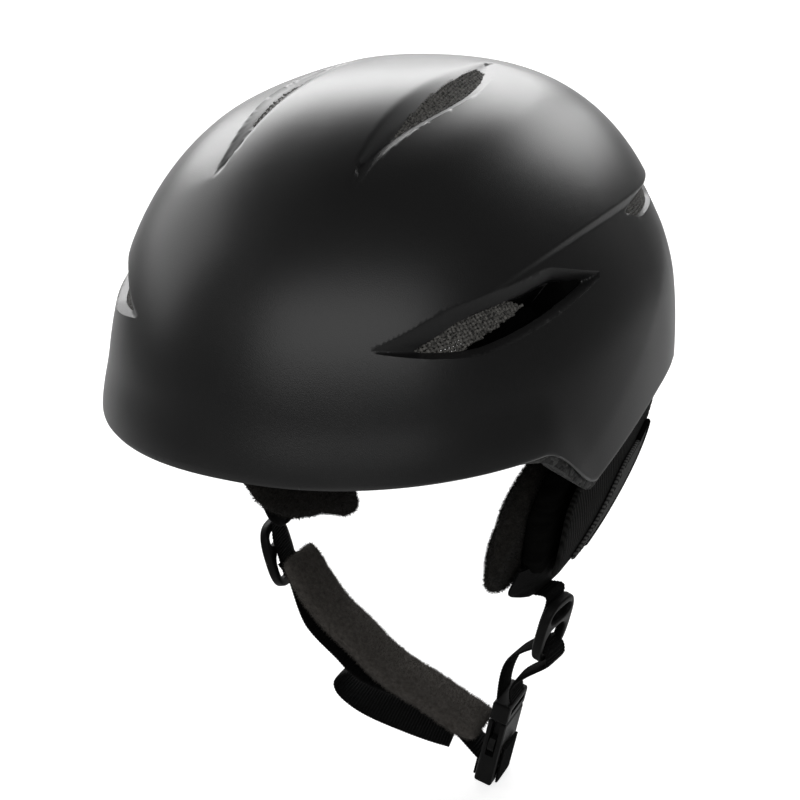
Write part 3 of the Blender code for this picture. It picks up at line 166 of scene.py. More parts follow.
def make_paper():
    away = Vector((-math.sin(CAMERA_AZIMUTH), math.cos(CAMERA_AZIMUTH), 0))
    across = Vector((math.cos(CAMERA_AZIMUTH), math.sin(CAMERA_AZIMUTH), 0))
    profile = [(PAPER_FRONT, 0.0), (0.0, 0.0), (PAPER_BEND, 0.0)]
    for k in range(1, PAPER_BEND_STEPS + 1):
        angle = math.pi / 2 * k / PAPER_BEND_STEPS
        profile.append((PAPER_BEND + PAPER_RADIUS * math.sin(angle), PAPER_RADIUS * (1 - math.cos(angle))))
    profile.append((PAPER_BEND + PAPER_RADIUS, PAPER_TOP))
    verts, faces = [], []
    for along, rise in profile:
        for side in (-1, 1):
            verts.append(away * along + across * (side * PAPER_HALF_WIDTH) + Vector((0, 0, FLOOR_Z + rise)))
    for k in range(len(profile) - 1):
        faces.append((2 * k, 2 * k + 1, 2 * k + 3, 2 * k + 2))
    mesh = bpy.data.meshes.new("paper_sweep")
    mesh.from_pydata(verts, [], faces)
    mesh.shade_smooth()
    finish, shader = plain_finish("white_paper", PAPER_COLOUR, 0.9, 0.0)
    shader.inputs["Emission Color"].default_value = (1, 1, 1, 1)
    finish.node_tree.links.new(paper_glow(finish, away, across), shader.inputs["Emission Strength"])
    mesh.materials.append(finish)
    add_object("paper_sweep", mesh)


def add_softbox(name, azimuth, elevation, distance, width, height, radiance):
    data = bpy.data.lights.new(name, "AREA")
    data.shape, data.size, data.size_y = "RECTANGLE", width, height
    data.energy = radiance * math.pi * width * height
    lamp = bpy.data.objects.new(name, data)
    out = towards(azimuth, elevation)
    lamp.location = STUDIO_CENTRE + out * distance
    lamp.rotation_euler = out.to_track_quat("Z", "Y").to_euler()
    bpy.context.scene.collection.objects.link(lamp)


def make_room():
    room = bpy.data.worlds.new("studio_room")
    room.use_nodes = True
    path = room.node_tree.nodes.new("ShaderNodeLightPath")
    tone = add_range(room, path.outputs["Is Camera Ray"], ROOM_GREY, ROOM_SEEN)
    room.node_tree.links.new(tone, room.node_tree.nodes["Background"].inputs["Color"])
    bpy.context.scene.world = room
    bpy.context.scene.view_settings.view_transform = "Standard"


make_camera()
make_paper()
make_room()
add_softbox("softbox_back_left", -145, 28, 1.7, 1.9, 0.8, 6.0)
add_softbox("softbox_back_right", 165, 28, 1.7, 0.85, 0.75, 4.2)
add_softbox("softbox_left", -88, 26, 1.7, 1.6, 1.15, 1.8)
add_softbox("softbox_front", 20, 27, 1.8, 2.8, 1.0, 1.9)

# Outer shell
# One piece of matte black moulded plastic, 2.2 mm thick. Its cap stands proud behind the side vents, two
# scoops are sunk in the crown, and the lower rear turns in below a crease.

OUTER = (0.115, 0.158, 0.130, 0.158)
PLAN_POWER, HEIGHT_POWER = 2.22, 2.58
SHELL_WALL, SHELL_GRID, WALL_CREASE = 0.0022, 132, 38
BROW_Z, LOBE_Z, ARCH_Z, NAPE_Z = 0.0315, 0.0102, 0.0290, 0.0040
NOTCH_FRONT_Y, LOBE_Y, ARCH_Y, NAPE_Y = -0.092, -0.060, 0.030, 0.125
BRIM_FLARE, BRIM_FLARE_HEIGHT, BRIM_ROUND, BRIM_ROLL = 0.0022, 0.024, 0.0016, 0.6
STEP_TIP = (-0.135, 0.078)
STEP_LEVEL = (0.010, 0.108)
STEP_POWER, STEP_DEPTH, STEP_RUN, STEP_FADE = 2.7, 0.0032, 0.0020, 0.045
CREASE_FOOT = (-0.071, 0.023)
CREASE_SLOPE, CREASE_TOP_Z, FACET_SLOPE = 0.575, 0.085, 0.055
SIDE_VENT = ((-0.136, 0.079), (-0.114, 0.0908), (-0.071, 0.0978), (-0.0385, 0.0890), (-0.094, 0.0757),
             (-0.108, 0.0733), (-0.125, 0.0752))
SIDE_VENT_CHAMFERS = (0.0044, 0.0036, 0.0024, 0.0036, 0.0036, 0.0030, 0.0022)
SIDE_VENT_DEPTH = 0.0042
REAR_VENT = ((-0.002, 0.1045), (0.014, 0.1075), (0.058, 0.1075), (0.066, 0.1035), (0.052, 0.099),
             (0.014, 0.099))
REAR_VENT_CHAMFERS = (0.0010, 0.0008, 0.0010, 0.0016, 0.0018, 0.0016)
REAR_VENT_DEPTH = 0.0024
CORNER_ROUND, BEVEL_ROUND, HALVINGS = 0.0012, 0.25, 32
SCOOP_TIP_X, SCOOP_FRONT_Y, SCOOP_BACK_Y, SCOOP_SKEW = 0.030, -0.107, 0.019, 1.35
SCOOP_OUTER_BULGE, SCOOP_INNER_BULGE, SCOOP_DEPTH, SCOOP_WALL = 0.0125, 0.0072, 0.0046, 0.0042
SLOT_FRONT, SLOT_BACK = (0.0312, -0.078), (0.0285, 0.003)
SLOT_LIP = 0.0002
SCOOP_DROP, SCOOP_DROP_RUN, SCOOP_LEAST_Z = 0.0018, 0.022, 0.06
SCOOP_INNER_POWER, SCOOP_END_POWER, SCOOP_LEAST_RAMP = 0.45, 0.7, 0.0005
VENT_MARGIN, SCOOP_MARGIN, SCOOP_INNER_MARGIN, STEP_MARGIN, RIM_MARGIN = 0.006, 0.004, 0.003, 0.005, 0.004
SIDE_EDGE, REAR_EDGE, STEP_EDGE, STEP_BACK_Y = 0.0022, 0.0018, 0.0022, 0.10
CUT_REACH, LINE_REACH, CUT_SNAP, LEAST_EDGE = 0.012, 0.004, 0.0001, 0.0004


def columns(*parts):
    return np.stack(parts, axis=1)


def unit_rows(rows):
    return rows / np.linalg.norm(rows, axis=1)[:, None]


def ease(low, high, value):
    t = np.clip((value - low) / (high - low), 0.0, 1.0)
    return t * t * (3 - 2 * t)


def dome_level(p, dome):
    """1 on the dome's surface, less inside it."""
    half_width, front, back, top = dome
    length = np.where(p[:, 1] < 0, front, back)
    plan = (np.abs(p[:, 0]) / half_width) ** PLAN_POWER + (np.abs(p[:, 1]) / length) ** PLAN_POWER
    rise = (np.abs(p[:, 2]) / top) ** HEIGHT_POWER
    return (plan ** (HEIGHT_POWER / PLAN_POWER) + rise) ** (1 / HEIGHT_POWER)


def dome_points(polar, bearing):
    half_width, front, back, top = OUTER
    along = -np.sin(polar) * np.cos(bearing)
    length = np.where(along < 0, front, back)
    p = columns(half_width * np.sin(polar) * np.sin(bearing), length * along, top * np.cos(polar))
    return p / dome_level(p, OUTER)[:, None]


def dome_x(y, z):
    """Half-width of the outer dome at places seen from the side."""
    half_width, front, back, top = OUTER
    plan = (1 - (np.abs(z) / top) ** HEIGHT_POWER) ** (PLAN_POWER / HEIGHT_POWER)
    rest = plan - (np.abs(y) / np.where(y < 0, front, back)) ** PLAN_POWER
    return half_width * np.maximum(rest, 0.0) ** (1 / PLAN_POWER)


def dome_z(x, y):
    """Height of the outer dome at places seen from above."""
    half_width, front, back, top = OUTER
    plan = (np.abs(x) / half_width) ** PLAN_POWER + (np.abs(y) / np.where(y < 0, front, back)) ** PLAN_POWER
    return top * np.maximum(1 - plan ** (HEIGHT_POWER / PLAN_POWER), 0.0) ** (1 / HEIGHT_POWER)


def rim_height(y):
    brow = BROW_Z + (LOBE_Z - BROW_Z) * ease(NOTCH_FRONT_Y, LOBE_Y, y)
    ear = ARCH_Z + (LOBE_Z - ARCH_Z) * ((ARCH_Y - y) / (ARCH_Y - LOBE_Y)) ** 2
    nape = ARCH_Z + (NAPE_Z - ARCH_Z) * ease(ARCH_Y, NAPE_Y, y)
    return np.where(y < LOBE_Y, brow, np.where(y < ARCH_Y, ear, nape))


def rim_polar(bearing):
    low, high = np.full(len(bearing), 0.5), np.full(len(bearing), math.pi / 2)
    for _ in range(HALVINGS):
        middle = (low + high) / 2
        p = dome_points(middle, bearing)
        above = p[:, 2] > rim_height(p[:, 1])
        low, high = np.where(above, middle, low), np.where(above, high, middle)
    return low


def chart_points(uv):
    """The dome as a flat disc: centre at the crown, edge at the rim, front at -v."""
    bearing = np.arctan2(uv[:, 0], -uv[:, 1])
    return dome_points(np.hypot(uv[:, 0], uv[:, 1]) * rim_polar(bearing), bearing)


def edge_distances(outline, a, b):
    """Distances inside the edges of a convex outline listed clockwise, one row for each edge."""
    rows = []
    for (a0, b0), (a1, b1) in zip(outline, outline[1:] + outline[:1]):
        run, rise = a1 - a0, b1 - b0
        rows.append((rise * (a - a0) - run * (b - b0)) / math.hypot(run, rise))
    return np.array(rows)


def soft_least(rows, blend):
    """The least of several rows, with its corners rounded."""
    return -blend * np.log(np.sum(np.exp(-np.clip(rows / blend, -60, 60)), axis=0))


def vent_edge(outline, p):
    return soft_least(edge_distances(outline, p[:, 1], p[:, 2]), CORNER_ROUND / 2)


def vent_hole(outline, chamfers, p):
    rows = edge_distances(outline, p[:, 1], p[:, 2]) - np.array(chamfers)[:, None]
    return soft_least(rows, CORNER_ROUND / 2)


def vent_relief(outline, chamfers, depth, p):
    rows = edge_distances(outline, p[:, 1], p[:, 2]) / np.array(chamfers)[:, None]
    return depth * np.clip(soft_least(rows, BEVEL_ROUND), 0.0, 1.0)


def step_height(y):
    t = np.clip((STEP_LEVEL[0] - y) / (STEP_LEVEL[0] - STEP_TIP[0]), 0.0, 1.0)
    return STEP_LEVEL[1] + (STEP_TIP[1] - STEP_LEVEL[1]) * t ** STEP_POWER


def crease_height(y):
    return np.minimum(CREASE_FOOT[1] + CREASE_SLOPE * (y - CREASE_FOOT[0]), CREASE_TOP_Z)


def scoop_share(y):
    return np.clip((y - SCOOP_FRONT_Y) / (SCOOP_BACK_Y - SCOOP_FRONT_Y), 0.0, 1.0)


def scoop_outer_x(y):
    return SCOOP_TIP_X + SCOOP_OUTER_BULGE * np.sin(math.pi * scoop_share(y) ** SCOOP_SKEW)


def scoop_inner_x(y):
    return SCOOP_TIP_X - SCOOP_INNER_BULGE * np.sin(math.pi * scoop_share(y)) ** SCOOP_INNER_POWER


def scoop_depth(p):
    x, y = np.abs(p[:, 0]), p[:, 1]
    outer, inner = scoop_outer_x(y), scoop_inner_x(y)
    foot = np.maximum(outer - SCOOP_WALL, inner + SCOOP_LEAST_RAMP)
    ramp = ease(0.0, 1.0, (x - inner) / (foot - inner))
    wall = np.clip((outer - x) / np.maximum(outer - foot, 1e-5), 0.0, 1.0)
    return SCOOP_DEPTH * np.sin(math.pi * scoop_share(y)) ** SCOOP_END_POWER * ramp * wall


def slot_hole(p):
    x, y = np.abs(p[:, 0]), p[:, 1]
    aside, length = SLOT_BACK[0] - SLOT_FRONT[0], SLOT_BACK[1] - SLOT_FRONT[1]
    inner = SLOT_FRONT[0] + aside * (y - SLOT_FRONT[1]) / length
    outer = scoop_outer_x(y) - SCOOP_WALL - SLOT_LIP
    return soft_least(np.array([x - inner, outer - x, y - SLOT_FRONT[1], SLOT_BACK[1] - y]), CORNER_ROUND / 2)


def side_hole(p):
    return vent_hole(SIDE_VENT, SIDE_VENT_CHAMFERS, p)


def rear_hole(p):
    return vent_hole(REAR_VENT, REAR_VENT_CHAMFERS, p)


def scoop_drop(p):
    """The shell is a little lower on the outer side of a scoop."""
    x, y = np.abs(p[:, 0]), p[:, 1]
    outer = scoop_outer_x(y)
    rise = ease(0.0, SCOOP_DROP_RUN, x - outer)
    start = ease(-SCOOP_WALL, 0.0, x - outer)
    ends = np.sin(math.pi * scoop_share(y)) ** SCOOP_END_POWER
    return SCOOP_DROP * ends * start * (1 - rise) * (p[:, 2] > SCOOP_LEAST_Z)


def relief(p):
    """How far the shell's outer face stands out from the plain dome."""
    y, z = p[:, 1], p[:, 2]
    above = z - rim_height(y)
    flare = BRIM_FLARE * (1 - ease(NOTCH_FRONT_Y, LOBE_Y, y)) * (1 - ease(0, BRIM_FLARE_HEIGHT, above))
    turn = np.clip(1 - above / BRIM_ROUND, 0.0, 1.0)
    rolled = BRIM_ROUND * BRIM_ROLL * (1 - np.sqrt(np.maximum(1 - turn * turn, 0.0)))
    below = step_height(y) - z
    step = STEP_DEPTH * ease(STEP_TIP[0], STEP_LEVEL[0], y) * ease(0, STEP_RUN, below)
    step = step * (1 - ease(STEP_RUN, STEP_FADE, below))
    facet = FACET_SLOPE * np.maximum(crease_height(y) - z, 0.0)
    vents = vent_relief(SIDE_VENT, SIDE_VENT_CHAMFERS, SIDE_VENT_DEPTH, p)
    vents = vents + vent_relief(REAR_VENT, REAR_VENT_CHAMFERS, REAR_VENT_DEPTH, p)
    return flare - rolled - step - facet - vents - scoop_depth(p) - scoop_drop(p)


def shell_points(base, depth):
    """Points at a depth below the shell's outer face, on the rays from the origin."""
    return base + unit_rows(base) * (relief(base) - depth)[:, None]


def near_step(p, margin):
    y = p[:, 1]
    close = np.abs(step_height(y) - p[:, 2] - STEP_RUN / 2) < margin
    return close & (y > STEP_TIP[0]) & (y < STEP_BACK_Y)


def near_vents(p):
    """Where the shell has crisp edges: round the vents and scoops, along the step and at the rim."""
    x, y, z = np.abs(p[:, 0]), p[:, 1], p[:, 2]
    vents = (vent_edge(SIDE_VENT, p) > -VENT_MARGIN) | (vent_edge(REAR_VENT, p) > -VENT_MARGIN)
    scoop = (y > SCOOP_FRONT_Y - SCOOP_MARGIN) & (y < SCOOP_BACK_Y + SCOOP_MARGIN)
    scoop = scoop & (x > scoop_inner_x(y) - SCOOP_INNER_MARGIN) & (x < scoop_outer_x(y) + SCOOP_MARGIN)
    return vents | scoop | near_step(p, STEP_MARGIN) | (z - rim_height(y) < RIM_MARGIN)


def near_edges(p):
    """Where the shell's net is finest: at the edges of its side and rear vents and along the step."""
    vents = (np.abs(side_hole(p)) < SIDE_EDGE) | (np.abs(rear_hole(p)) < REAR_EDGE)
    return vents | near_step(p, STEP_EDGE)


def disc_places(parts):
    return chart_points(np.array([part.co[:2] for part in parts]))


def face_places(bm):
    return chart_points(np.array([face.calc_center_median()[:2] for face in bm.faces]))


def cut_disc(bm, level, reach):
    """Split the disc's faces along level = 0, within a reach of that line."""
    near = np.abs(level(face_places(bm))) < reach
    faces = [face for face, keep in zip(bm.faces, near) if keep]
    edges = list(dict.fromkeys(edge for face in faces for edge in face.edges))
    verts = list(dict.fromkeys(vert for face in faces for vert in face.verts))
    for vert, value in zip(verts, level(disc_places(verts))):
        vert.co.z = value
    bmesh.ops.bisect_plane(
        bm, geom=verts + edges + faces, dist=CUT_SNAP, plane_co=(0, 0, 0), plane_no=(0, 0, 1))
    for vert in bm.verts:
        vert.co.z = 0.0


def vented_disc(cells, crisp, side_opening, lines):
    """A square net drawn into a disc, finer where crisp says and split along lines, with the vents cut."""
    bm = bmesh.new()
    side = np.linspace(-1, 1, cells + 1)
    a, b = np.meshgrid(side, side, indexing="ij")
    u, v = a * np.sqrt(1 - b * b / 2), b * np.sqrt(1 - a * a / 2)
    net = [[bm.verts.new((u[i, j], v[i, j], 0)) for j in range(cells + 1)] for i in range(cells + 1)]
    for i in range(cells):
        for j in range(cells):
            bm.faces.new((net[i][j], net[i + 1][j], net[i + 1][j + 1], net[i][j + 1]))
    for finer in crisp:
        near = finer(face_places(bm))
        edges = list(dict.fromkeys(e for face, keep in zip(bm.faces, near) if keep for e in face.edges))
        bmesh.ops.subdivide_edges(bm, edges=edges, cuts=1, use_grid_fill=True)
    vent_edges = (lambda p: vent_edge(SIDE_VENT, p), side_opening, lambda p: vent_edge(REAR_VENT, p))
    for level in (*vent_edges, rear_hole, slot_hole):
        cut_disc(bm, level, CUT_REACH)
    for level, reach in lines:
        cut_disc(bm, level, reach)
    p = face_places(bm)
    hole = np.maximum(np.maximum(side_opening(p), rear_hole(p)), slot_hole(p)) > 0
    bmesh.ops.delete(bm, geom=[face for face, gone in zip(bm.faces, hole) if gone], context="FACES")
    bmesh.ops.dissolve_degenerate(bm, edges=bm.edges, dist=LEAST_EDGE)
    bmesh.ops.triangulate(bm, faces=bm.faces)
    return bm


def shaded_mesh(bm, mesh, crease):
    """Write a bmesh to a mesh, facing out and smooth but for edges of more than crease degrees."""
    bmesh.ops.recalc_face_normals(bm, faces=bm.faces)
    bm.to_mesh(mesh)
    bm.free()
    mesh.shade_smooth()
    mesh.set_sharp_from_angle(angle=math.radians(crease))
    return mesh


def scoop_line(inset):
    return lambda p: scoop_outer_x(p[:, 1]) - inset - np.abs(p[:, 0])


def step_line(below):
    return lambda p: step_height(p[:, 1]) - below - p[:, 2]


def wall_mesh(name, disc, outer, inner):
    """A closed wall from the disc: one face placed by outer(), the other by inner()."""
    bm = disc.copy()
    grown = bmesh.ops.extrude_face_region(bm, geom=bm.faces[:], use_keep_orig=True)["geom"]
    inner_verts = [part for part in grown if isinstance(part, bmesh.types.BMVert)]
    back = set(inner_verts)
    outer_verts = [vert for vert in bm.verts if vert not in back]
    for verts, place in ((outer_verts, outer), (inner_verts, inner)):
        uv = np.array([vert.co[:2] for vert in verts])
        for vert, spot in zip(verts, place(chart_points(uv), np.hypot(uv[:, 0], uv[:, 1]))):
            vert.co = spot
    return shaded_mesh(bm, bpy.data.meshes.new(name), WALL_CREASE)


def add_piece(name, mesh, finish, body, slot, *nodes):
    """A finished piece: its material, the body it rides on, and the CAD nodes it stands for; slot is not
    used.
    """
    mesh.materials.clear()
    mesh.materials.append(finish)
    piece = add_object(name, mesh)
    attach(piece, body)
    if nodes:
        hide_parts(*nodes)
    return piece


def add_texture(finish, kind, scale, turn=(0, 0, 0), **sockets):
    """A texture node on Object coordinates; returns it."""
    nodes, links = finish.node_tree.nodes, finish.node_tree.links
    place, mapping, texture = nodes.new("ShaderNodeTexCoord"), nodes.new("ShaderNodeMapping"), nodes.new(kind)
    mapping.inputs["Rotation"].default_value = [math.radians(t) for t in turn]
    mapping.inputs["Scale"].default_value = (scale, scale, scale) if np.isscalar(scale) else scale
    links.new(place.outputs["Object"], mapping.inputs["Vector"])
    links.new(mapping.outputs["Vector"], texture.inputs["Vector"])
    texture.inputs["Scale"].default_value = 1.0
    for socket, value in sockets.items():
        texture.inputs[socket].default_value = value
    return texture


def add_noise(finish, scale, detail, roughness=0.5):
    noise = add_texture(finish, "ShaderNodeTexNoise", scale, Detail=detail, Roughness=roughness)
    return noise.outputs["Fac"]


def add_tint(finish, shader, value, stops):
    """Base colour from a value; stops are (place, colour)."""
    ramp = finish.node_tree.nodes.new("ShaderNodeValToRGB")
    for element, (place, colour) in zip(ramp.color_ramp.elements, stops):
        element.position = place
        element.color = (*colour, 1.0)
    finish.node_tree.links.new(value, ramp.inputs["Fac"])
    finish.node_tree.links.new(ramp.outputs["Color"], shader.inputs["Base Color"])


def add_bump(finish, shader, height, distance):
    """Bump from a height, on top of any bump that is there."""
    bump = finish.node_tree.nodes.new("ShaderNodeBump")
    bump.inputs["Distance"].default_value = distance
    links = finish.node_tree.links
    links.new(height, bump.inputs["Height"])
    if shader.inputs["Normal"].is_linked:
        links.new(shader.inputs["Normal"].links[0].from_socket, bump.inputs["Normal"])
    links.new(bump.outputs["Normal"], shader.inputs["Normal"])


def mottled_finish(name, roughness, specular, mottle, stops, bumps=(), sheen=(0.0, 0.5), gloss=None):
    """A Principled material tinted by one noise and bumped by others, each as (scale, detail, roughness)."""
    finish, shader = plain_finish(name, stops[-1][1], roughness, specular)
    shader.inputs["Sheen Weight"].default_value, shader.inputs["Sheen Roughness"].default_value = sheen
    value = add_noise(finish, *mottle)
    add_tint(finish, shader, value, stops)
    if gloss is not None:
        finish.node_tree.links.new(add_range(finish, value, *gloss), shader.inputs["Roughness"])
    for noise, distance in bumps:
        add_bump(finish, shader, add_noise(finish, *noise), distance)
    return finish


# Soft-touch black paint: very fine orange peel, slightly uneven gloss.
matte_shell = mottled_finish(
    "matte_shell", 0.34, 0.42, (22.0, 3.0), ((0.3, (0.008, 0.008, 0.0083)), (0.7, (0.010, 0.010, 0.0100))),
    bumps=(((2600.0, 1.0), 0.00004),), gloss=(0.31, 0.37))
shell_lines = (scoop_line(0.0), scoop_line(SCOOP_WALL), step_line(0.0), step_line(STEP_RUN))
shell_disc = vented_disc(
    SHELL_GRID, (near_vents, near_edges), side_hole, [(level, LINE_REACH) for level in shell_lines])
shell_mesh = wall_mesh(
    "shell", shell_disc,
    lambda base, radius: shell_points(base, 0.0), lambda base, radius: shell_points(base, SHELL_WALL))
shell_disc.free()
add_piece("shell", shell_mesh, matte_shell, "helmet", "shell_black", "outer_shell")

# Foam liner
# Dark expanded-bead foam under the shell. Its mottled lower edge shows below the rim at the ear notch, and
# its channels carry the vents through to the head space. Behind the side vents it has deep pockets whose
# faces are coloured near-black: painted shade of the deep hole.

SIDE_MESH_END, SIDE_MESH_SLANT, SIDE_MESH_TOP_SLANT = (-0.0848, 0.0872), 2.54, 0.42
SIDE_MESH_COSINES, SIDE_MESH_BARE = (0.37, 0.92), 0.0022
FOAM_DEPTH, VENT_POCKET, POCKET_WALL = 0.0025, 0.0200, 0.0010
FOAM_VENT_INSET, FOAM_VENT_SHORT, PAINTED_SHADE_OVERLAP, PAINTED_SHADE_FACING = 0.0006, 0.0023, 0.0004, -0.5
HEAD_FORM = (0.0880, 0.1260, 0.0980, 0.1280)
FOAM_LIP, FOAM_LIP_AT_EAR, FOAM_GRID = 0.0006, 0.0045, 74
FOAM_RIM, BEAD_SCALE = 1 - 0.6 / FOAM_GRID, 420.0
EAR_LIP_START, EAR_LIP_END = (-0.012, 0.010), 0.020


def head_points(base, depth):
    """Points at a depth inwards of the liner's head form, on the rays from the origin."""
    ray = unit_rows(base)
    return ray * (1 / dome_level(ray, HEAD_FORM) - depth)[:, None]


def level_points(base, z, dome):
    """Points on a dome at given heights, straight in or out from the upright axis."""
    low, high = np.full(len(base), 0.3), np.full(len(base), 1.5)
    for _ in range(HALVINGS):
        share = (low + high) / 2
        p = columns(base[:, 0] * share, base[:, 1] * share, z)
        inside = dome_level(p, dome) < 1
        low, high = np.where(inside, share, low), np.where(inside, high, share)
    return columns(base[:, 0] * low, base[:, 1] * low, z)


def foam_edge_z(base):
    y = base[:, 1]
    start = ease(NOTCH_FRONT_Y + EAR_LIP_START[0], NOTCH_FRONT_Y + EAR_LIP_START[1], y)
    ear = start * (1 - ease(LOBE_Y, LOBE_Y + EAR_LIP_END, y))
    return base[:, 2] - FOAM_LIP - (FOAM_LIP_AT_EAR - FOAM_LIP) * ear


def foam_outer(base, radius):
    rim = (radius > FOAM_RIM)[:, None]
    pocket = VENT_POCKET * ease(0.0, POCKET_WALL, side_hole(base))
    spots = np.where(rim, level_points(base, foam_edge_z(base), OUTER), base)
    return shell_points(spots, FOAM_DEPTH + pocket)


def foam_inner(base, radius):
    rim = (radius > FOAM_RIM)[:, None]
    return np.where(rim, level_points(base, foam_edge_z(base), HEAD_FORM), head_points(base, 0.0))


def bead_foam_finish():
    """Fused foam beads of 2 to 3 mm, each a slightly different grey, with dark joints between them."""
    finish, shader = plain_finish("bead_foam", (0.05, 0.05, 0.05), 0.75, 0.35)
    bead, edge = (add_texture(finish, "ShaderNodeTexVoronoi", BEAD_SCALE) for _ in range(2))
    edge.feature = "DISTANCE_TO_EDGE"
    tone = finish.node_tree.nodes.new("ShaderNodeSeparateColor")
    finish.node_tree.links.new(bead.outputs["Color"], tone.inputs["Color"])
    greys = ((0.0, (0.014, 0.014, 0.014)), (1.0, (0.075, 0.075, 0.073)))
    add_tint(finish, shader, tone.outputs["Red"], greys)
    add_bump(finish, shader, add_range(finish, edge.outputs["Distance"], 0.0, 3.0), 0.0004)
    return finish


def behind_mesh(y, z):
    """How far a place in a side vent lies behind the two slanting edges of its mesh at the rear."""
    back, up = y - SIDE_MESH_END[0], z - SIDE_MESH_END[1]
    rear = SIDE_MESH_COSINES[0] * (back - SIDE_MESH_SLANT * up) + SIDE_MESH_BARE
    return np.maximum(rear, SIDE_MESH_COSINES[1] * (up + SIDE_MESH_TOP_SLANT * back))


def foam_side_hole(p):
    return np.minimum(side_hole(p) - FOAM_VENT_INSET, -FOAM_VENT_SHORT - behind_mesh(p[:, 1], p[:, 2]))


pocket_lines = ((side_hole, CUT_REACH), (lambda p: side_hole(p) - POCKET_WALL, CUT_REACH))
foam_disc = vented_disc(FOAM_GRID, (), foam_side_hole, pocket_lines)
foam_mesh = wall_mesh("liner", foam_disc, foam_outer, foam_inner)
foam_disc.free()
add_piece("liner", foam_mesh, bead_foam_finish(), "helmet", "foam_dark", "eps_liner")
# The liner's faces in the pockets behind the side vents get a near-black colour: painted shade of the deep
# hole.
painted_pocket_shade, _ = plain_finish("painted_pocket_shade", (0.0035, 0.0035, 0.0035), 0.9, 0.03)
foam_mesh.materials.append(painted_pocket_shade)
face_middles = np.array([face.center for face in foam_mesh.polygons])
face_normals = np.array([face.normal for face in foam_mesh.polygons])
on_dome = face_middles / dome_level(face_middles, OUTER)[:, None]
outwards = np.sum(face_normals * on_dome, axis=1) / np.linalg.norm(on_dome, axis=1)
in_pocket = (side_hole(on_dome) > -PAINTED_SHADE_OVERLAP) & (outwards > PAINTED_SHADE_FACING)
for face, shaded_black in zip(foam_mesh.polygons, in_pocket):
    face.material_index = int(shaded_black)

# Vent mesh
# Plain-woven grey nylon, fixed behind every vent. It is made of real threads that pass over and under each
# other. In the side vents it ends before the rear, where the liner's deep pocket shows, coloured near-black
# as painted shade.

THREAD_PITCH, THREAD_RADIUS, THREAD_STEP = 0.00130, 0.00066, 0.00065
MESH_OVERLAP, SIDE_MESH_DEPTH, REAR_MESH_DEPTH = 0.0009, 0.0052, 0.0058
TOP_MESH_SHARE, TOP_MESH_DEPTH, THREAD_LIFT, THREAD_SIDES = 0.85, 0.0010, 0.6, 5
SIDE_PANEL, REAR_PANEL = ((-0.087, 0.087), 0.056, 0.2), ((0.032, 0.103), 0.040, 0.0)
TOP_PANEL = ((0.034, -0.038), 0.045, 0.1)


def wired_tree(name, inputs, output, kinds, settings, wires):
    """A geometry node group from its inputs, its nodes, their values and wires between node.socket words."""
    tree = bpy.data.node_groups.new(name, "GeometryNodeTree")
    keys = {}
    for word, kind in inputs:
        entry = tree.interface.new_socket(word, in_out="INPUT", socket_type="NodeSocket" + kind)
        keys[word] = entry.identifier
    tree.interface.new_socket(output, in_out="OUTPUT", socket_type="NodeSocketGeometry")
    nodes = {word: tree.nodes.new(kind) for word, kind in kinds.items()}

    def socket(row, word):
        return row[int(word) if word.isdigit() else word]
    for place, value in settings:
        node, word = place.split(".")
        if hasattr(nodes[node], word):
            setattr(nodes[node], word, value)
        else:
            socket(nodes[node].inputs, word).default_value = value
    for source, target in wires:
        (first, leave), (second, enter) = source.split("."), target.split(".")
        tree.links.new(socket(nodes[first].outputs, leave), socket(nodes[second].inputs, enter))
    return tree, keys


# Sweeps a round section along every line of a guide mesh.
THREAD_TREE, THREAD_KEYS = wired_tree(
    "round_thread", (("Lines", "Geometry"), ("Radius", "Float"), ("Sides", "Int"), ("Material", "Material")),
    "Threads",
    {"in": "NodeGroupInput", "out": "NodeGroupOutput", "line": "GeometryNodeMeshToCurve",
     "ring": "GeometryNodeCurvePrimitiveCircle", "sweep": "GeometryNodeCurveToMesh",
     "real": "GeometryNodeRealizeInstances", "paint": "GeometryNodeSetMaterial"},
    (("sweep.Fill Caps", True),),
    (("in.Lines", "line.Mesh"), ("in.Sides", "ring.Resolution"), ("in.Radius", "ring.Radius"),
     ("line.Curve", "sweep.Curve"), ("ring.Curve", "sweep.Profile Curve"), ("sweep.Mesh", "real.Geometry"),
     ("real.Geometry", "paint.Geometry"), ("in.Material", "paint.Material"),
     ("paint.Geometry", "out.Threads")))


def applied_mesh(thing):
    """A plain mesh of an object with its modifiers applied."""
    graph = bpy.context.evaluated_depsgraph_get()
    return bpy.data.meshes.new_from_object(thing.evaluated_get(graph))


def run_tree(name, mesh, tree, settings):
    """A plain mesh from a node tree run on a guide mesh."""
    guide = add_object(name + "_guide", mesh)
    maker = guide.modifiers.new("maker", "NODES")
    maker.node_group = tree
    for key, value in settings.items():
        maker[key] = value
    made = applied_mesh(guide)
    made.name = name
    bpy.data.objects.remove(guide, do_unlink=True)
    return made


def threads_along(name, lines, radius, sides, finish):
    """Round threads along lists of points."""
    verts, edges = [], []
    for line in lines:
        first = len(verts)
        verts.extend(tuple(p) for p in line)
        edges.extend((k, k + 1) for k in range(first, len(verts) - 1))
    guide = bpy.data.meshes.new(name + "_lines")
    guide.from_pydata(verts, edges, [])
    settings = {THREAD_KEYS["Radius"]: radius, THREAD_KEYS["Sides"]: sides, THREAD_KEYS["Material"]: finish}
    mesh = run_tree(name, guide, THREAD_TREE, settings)
    mesh.shade_smooth()
    return mesh


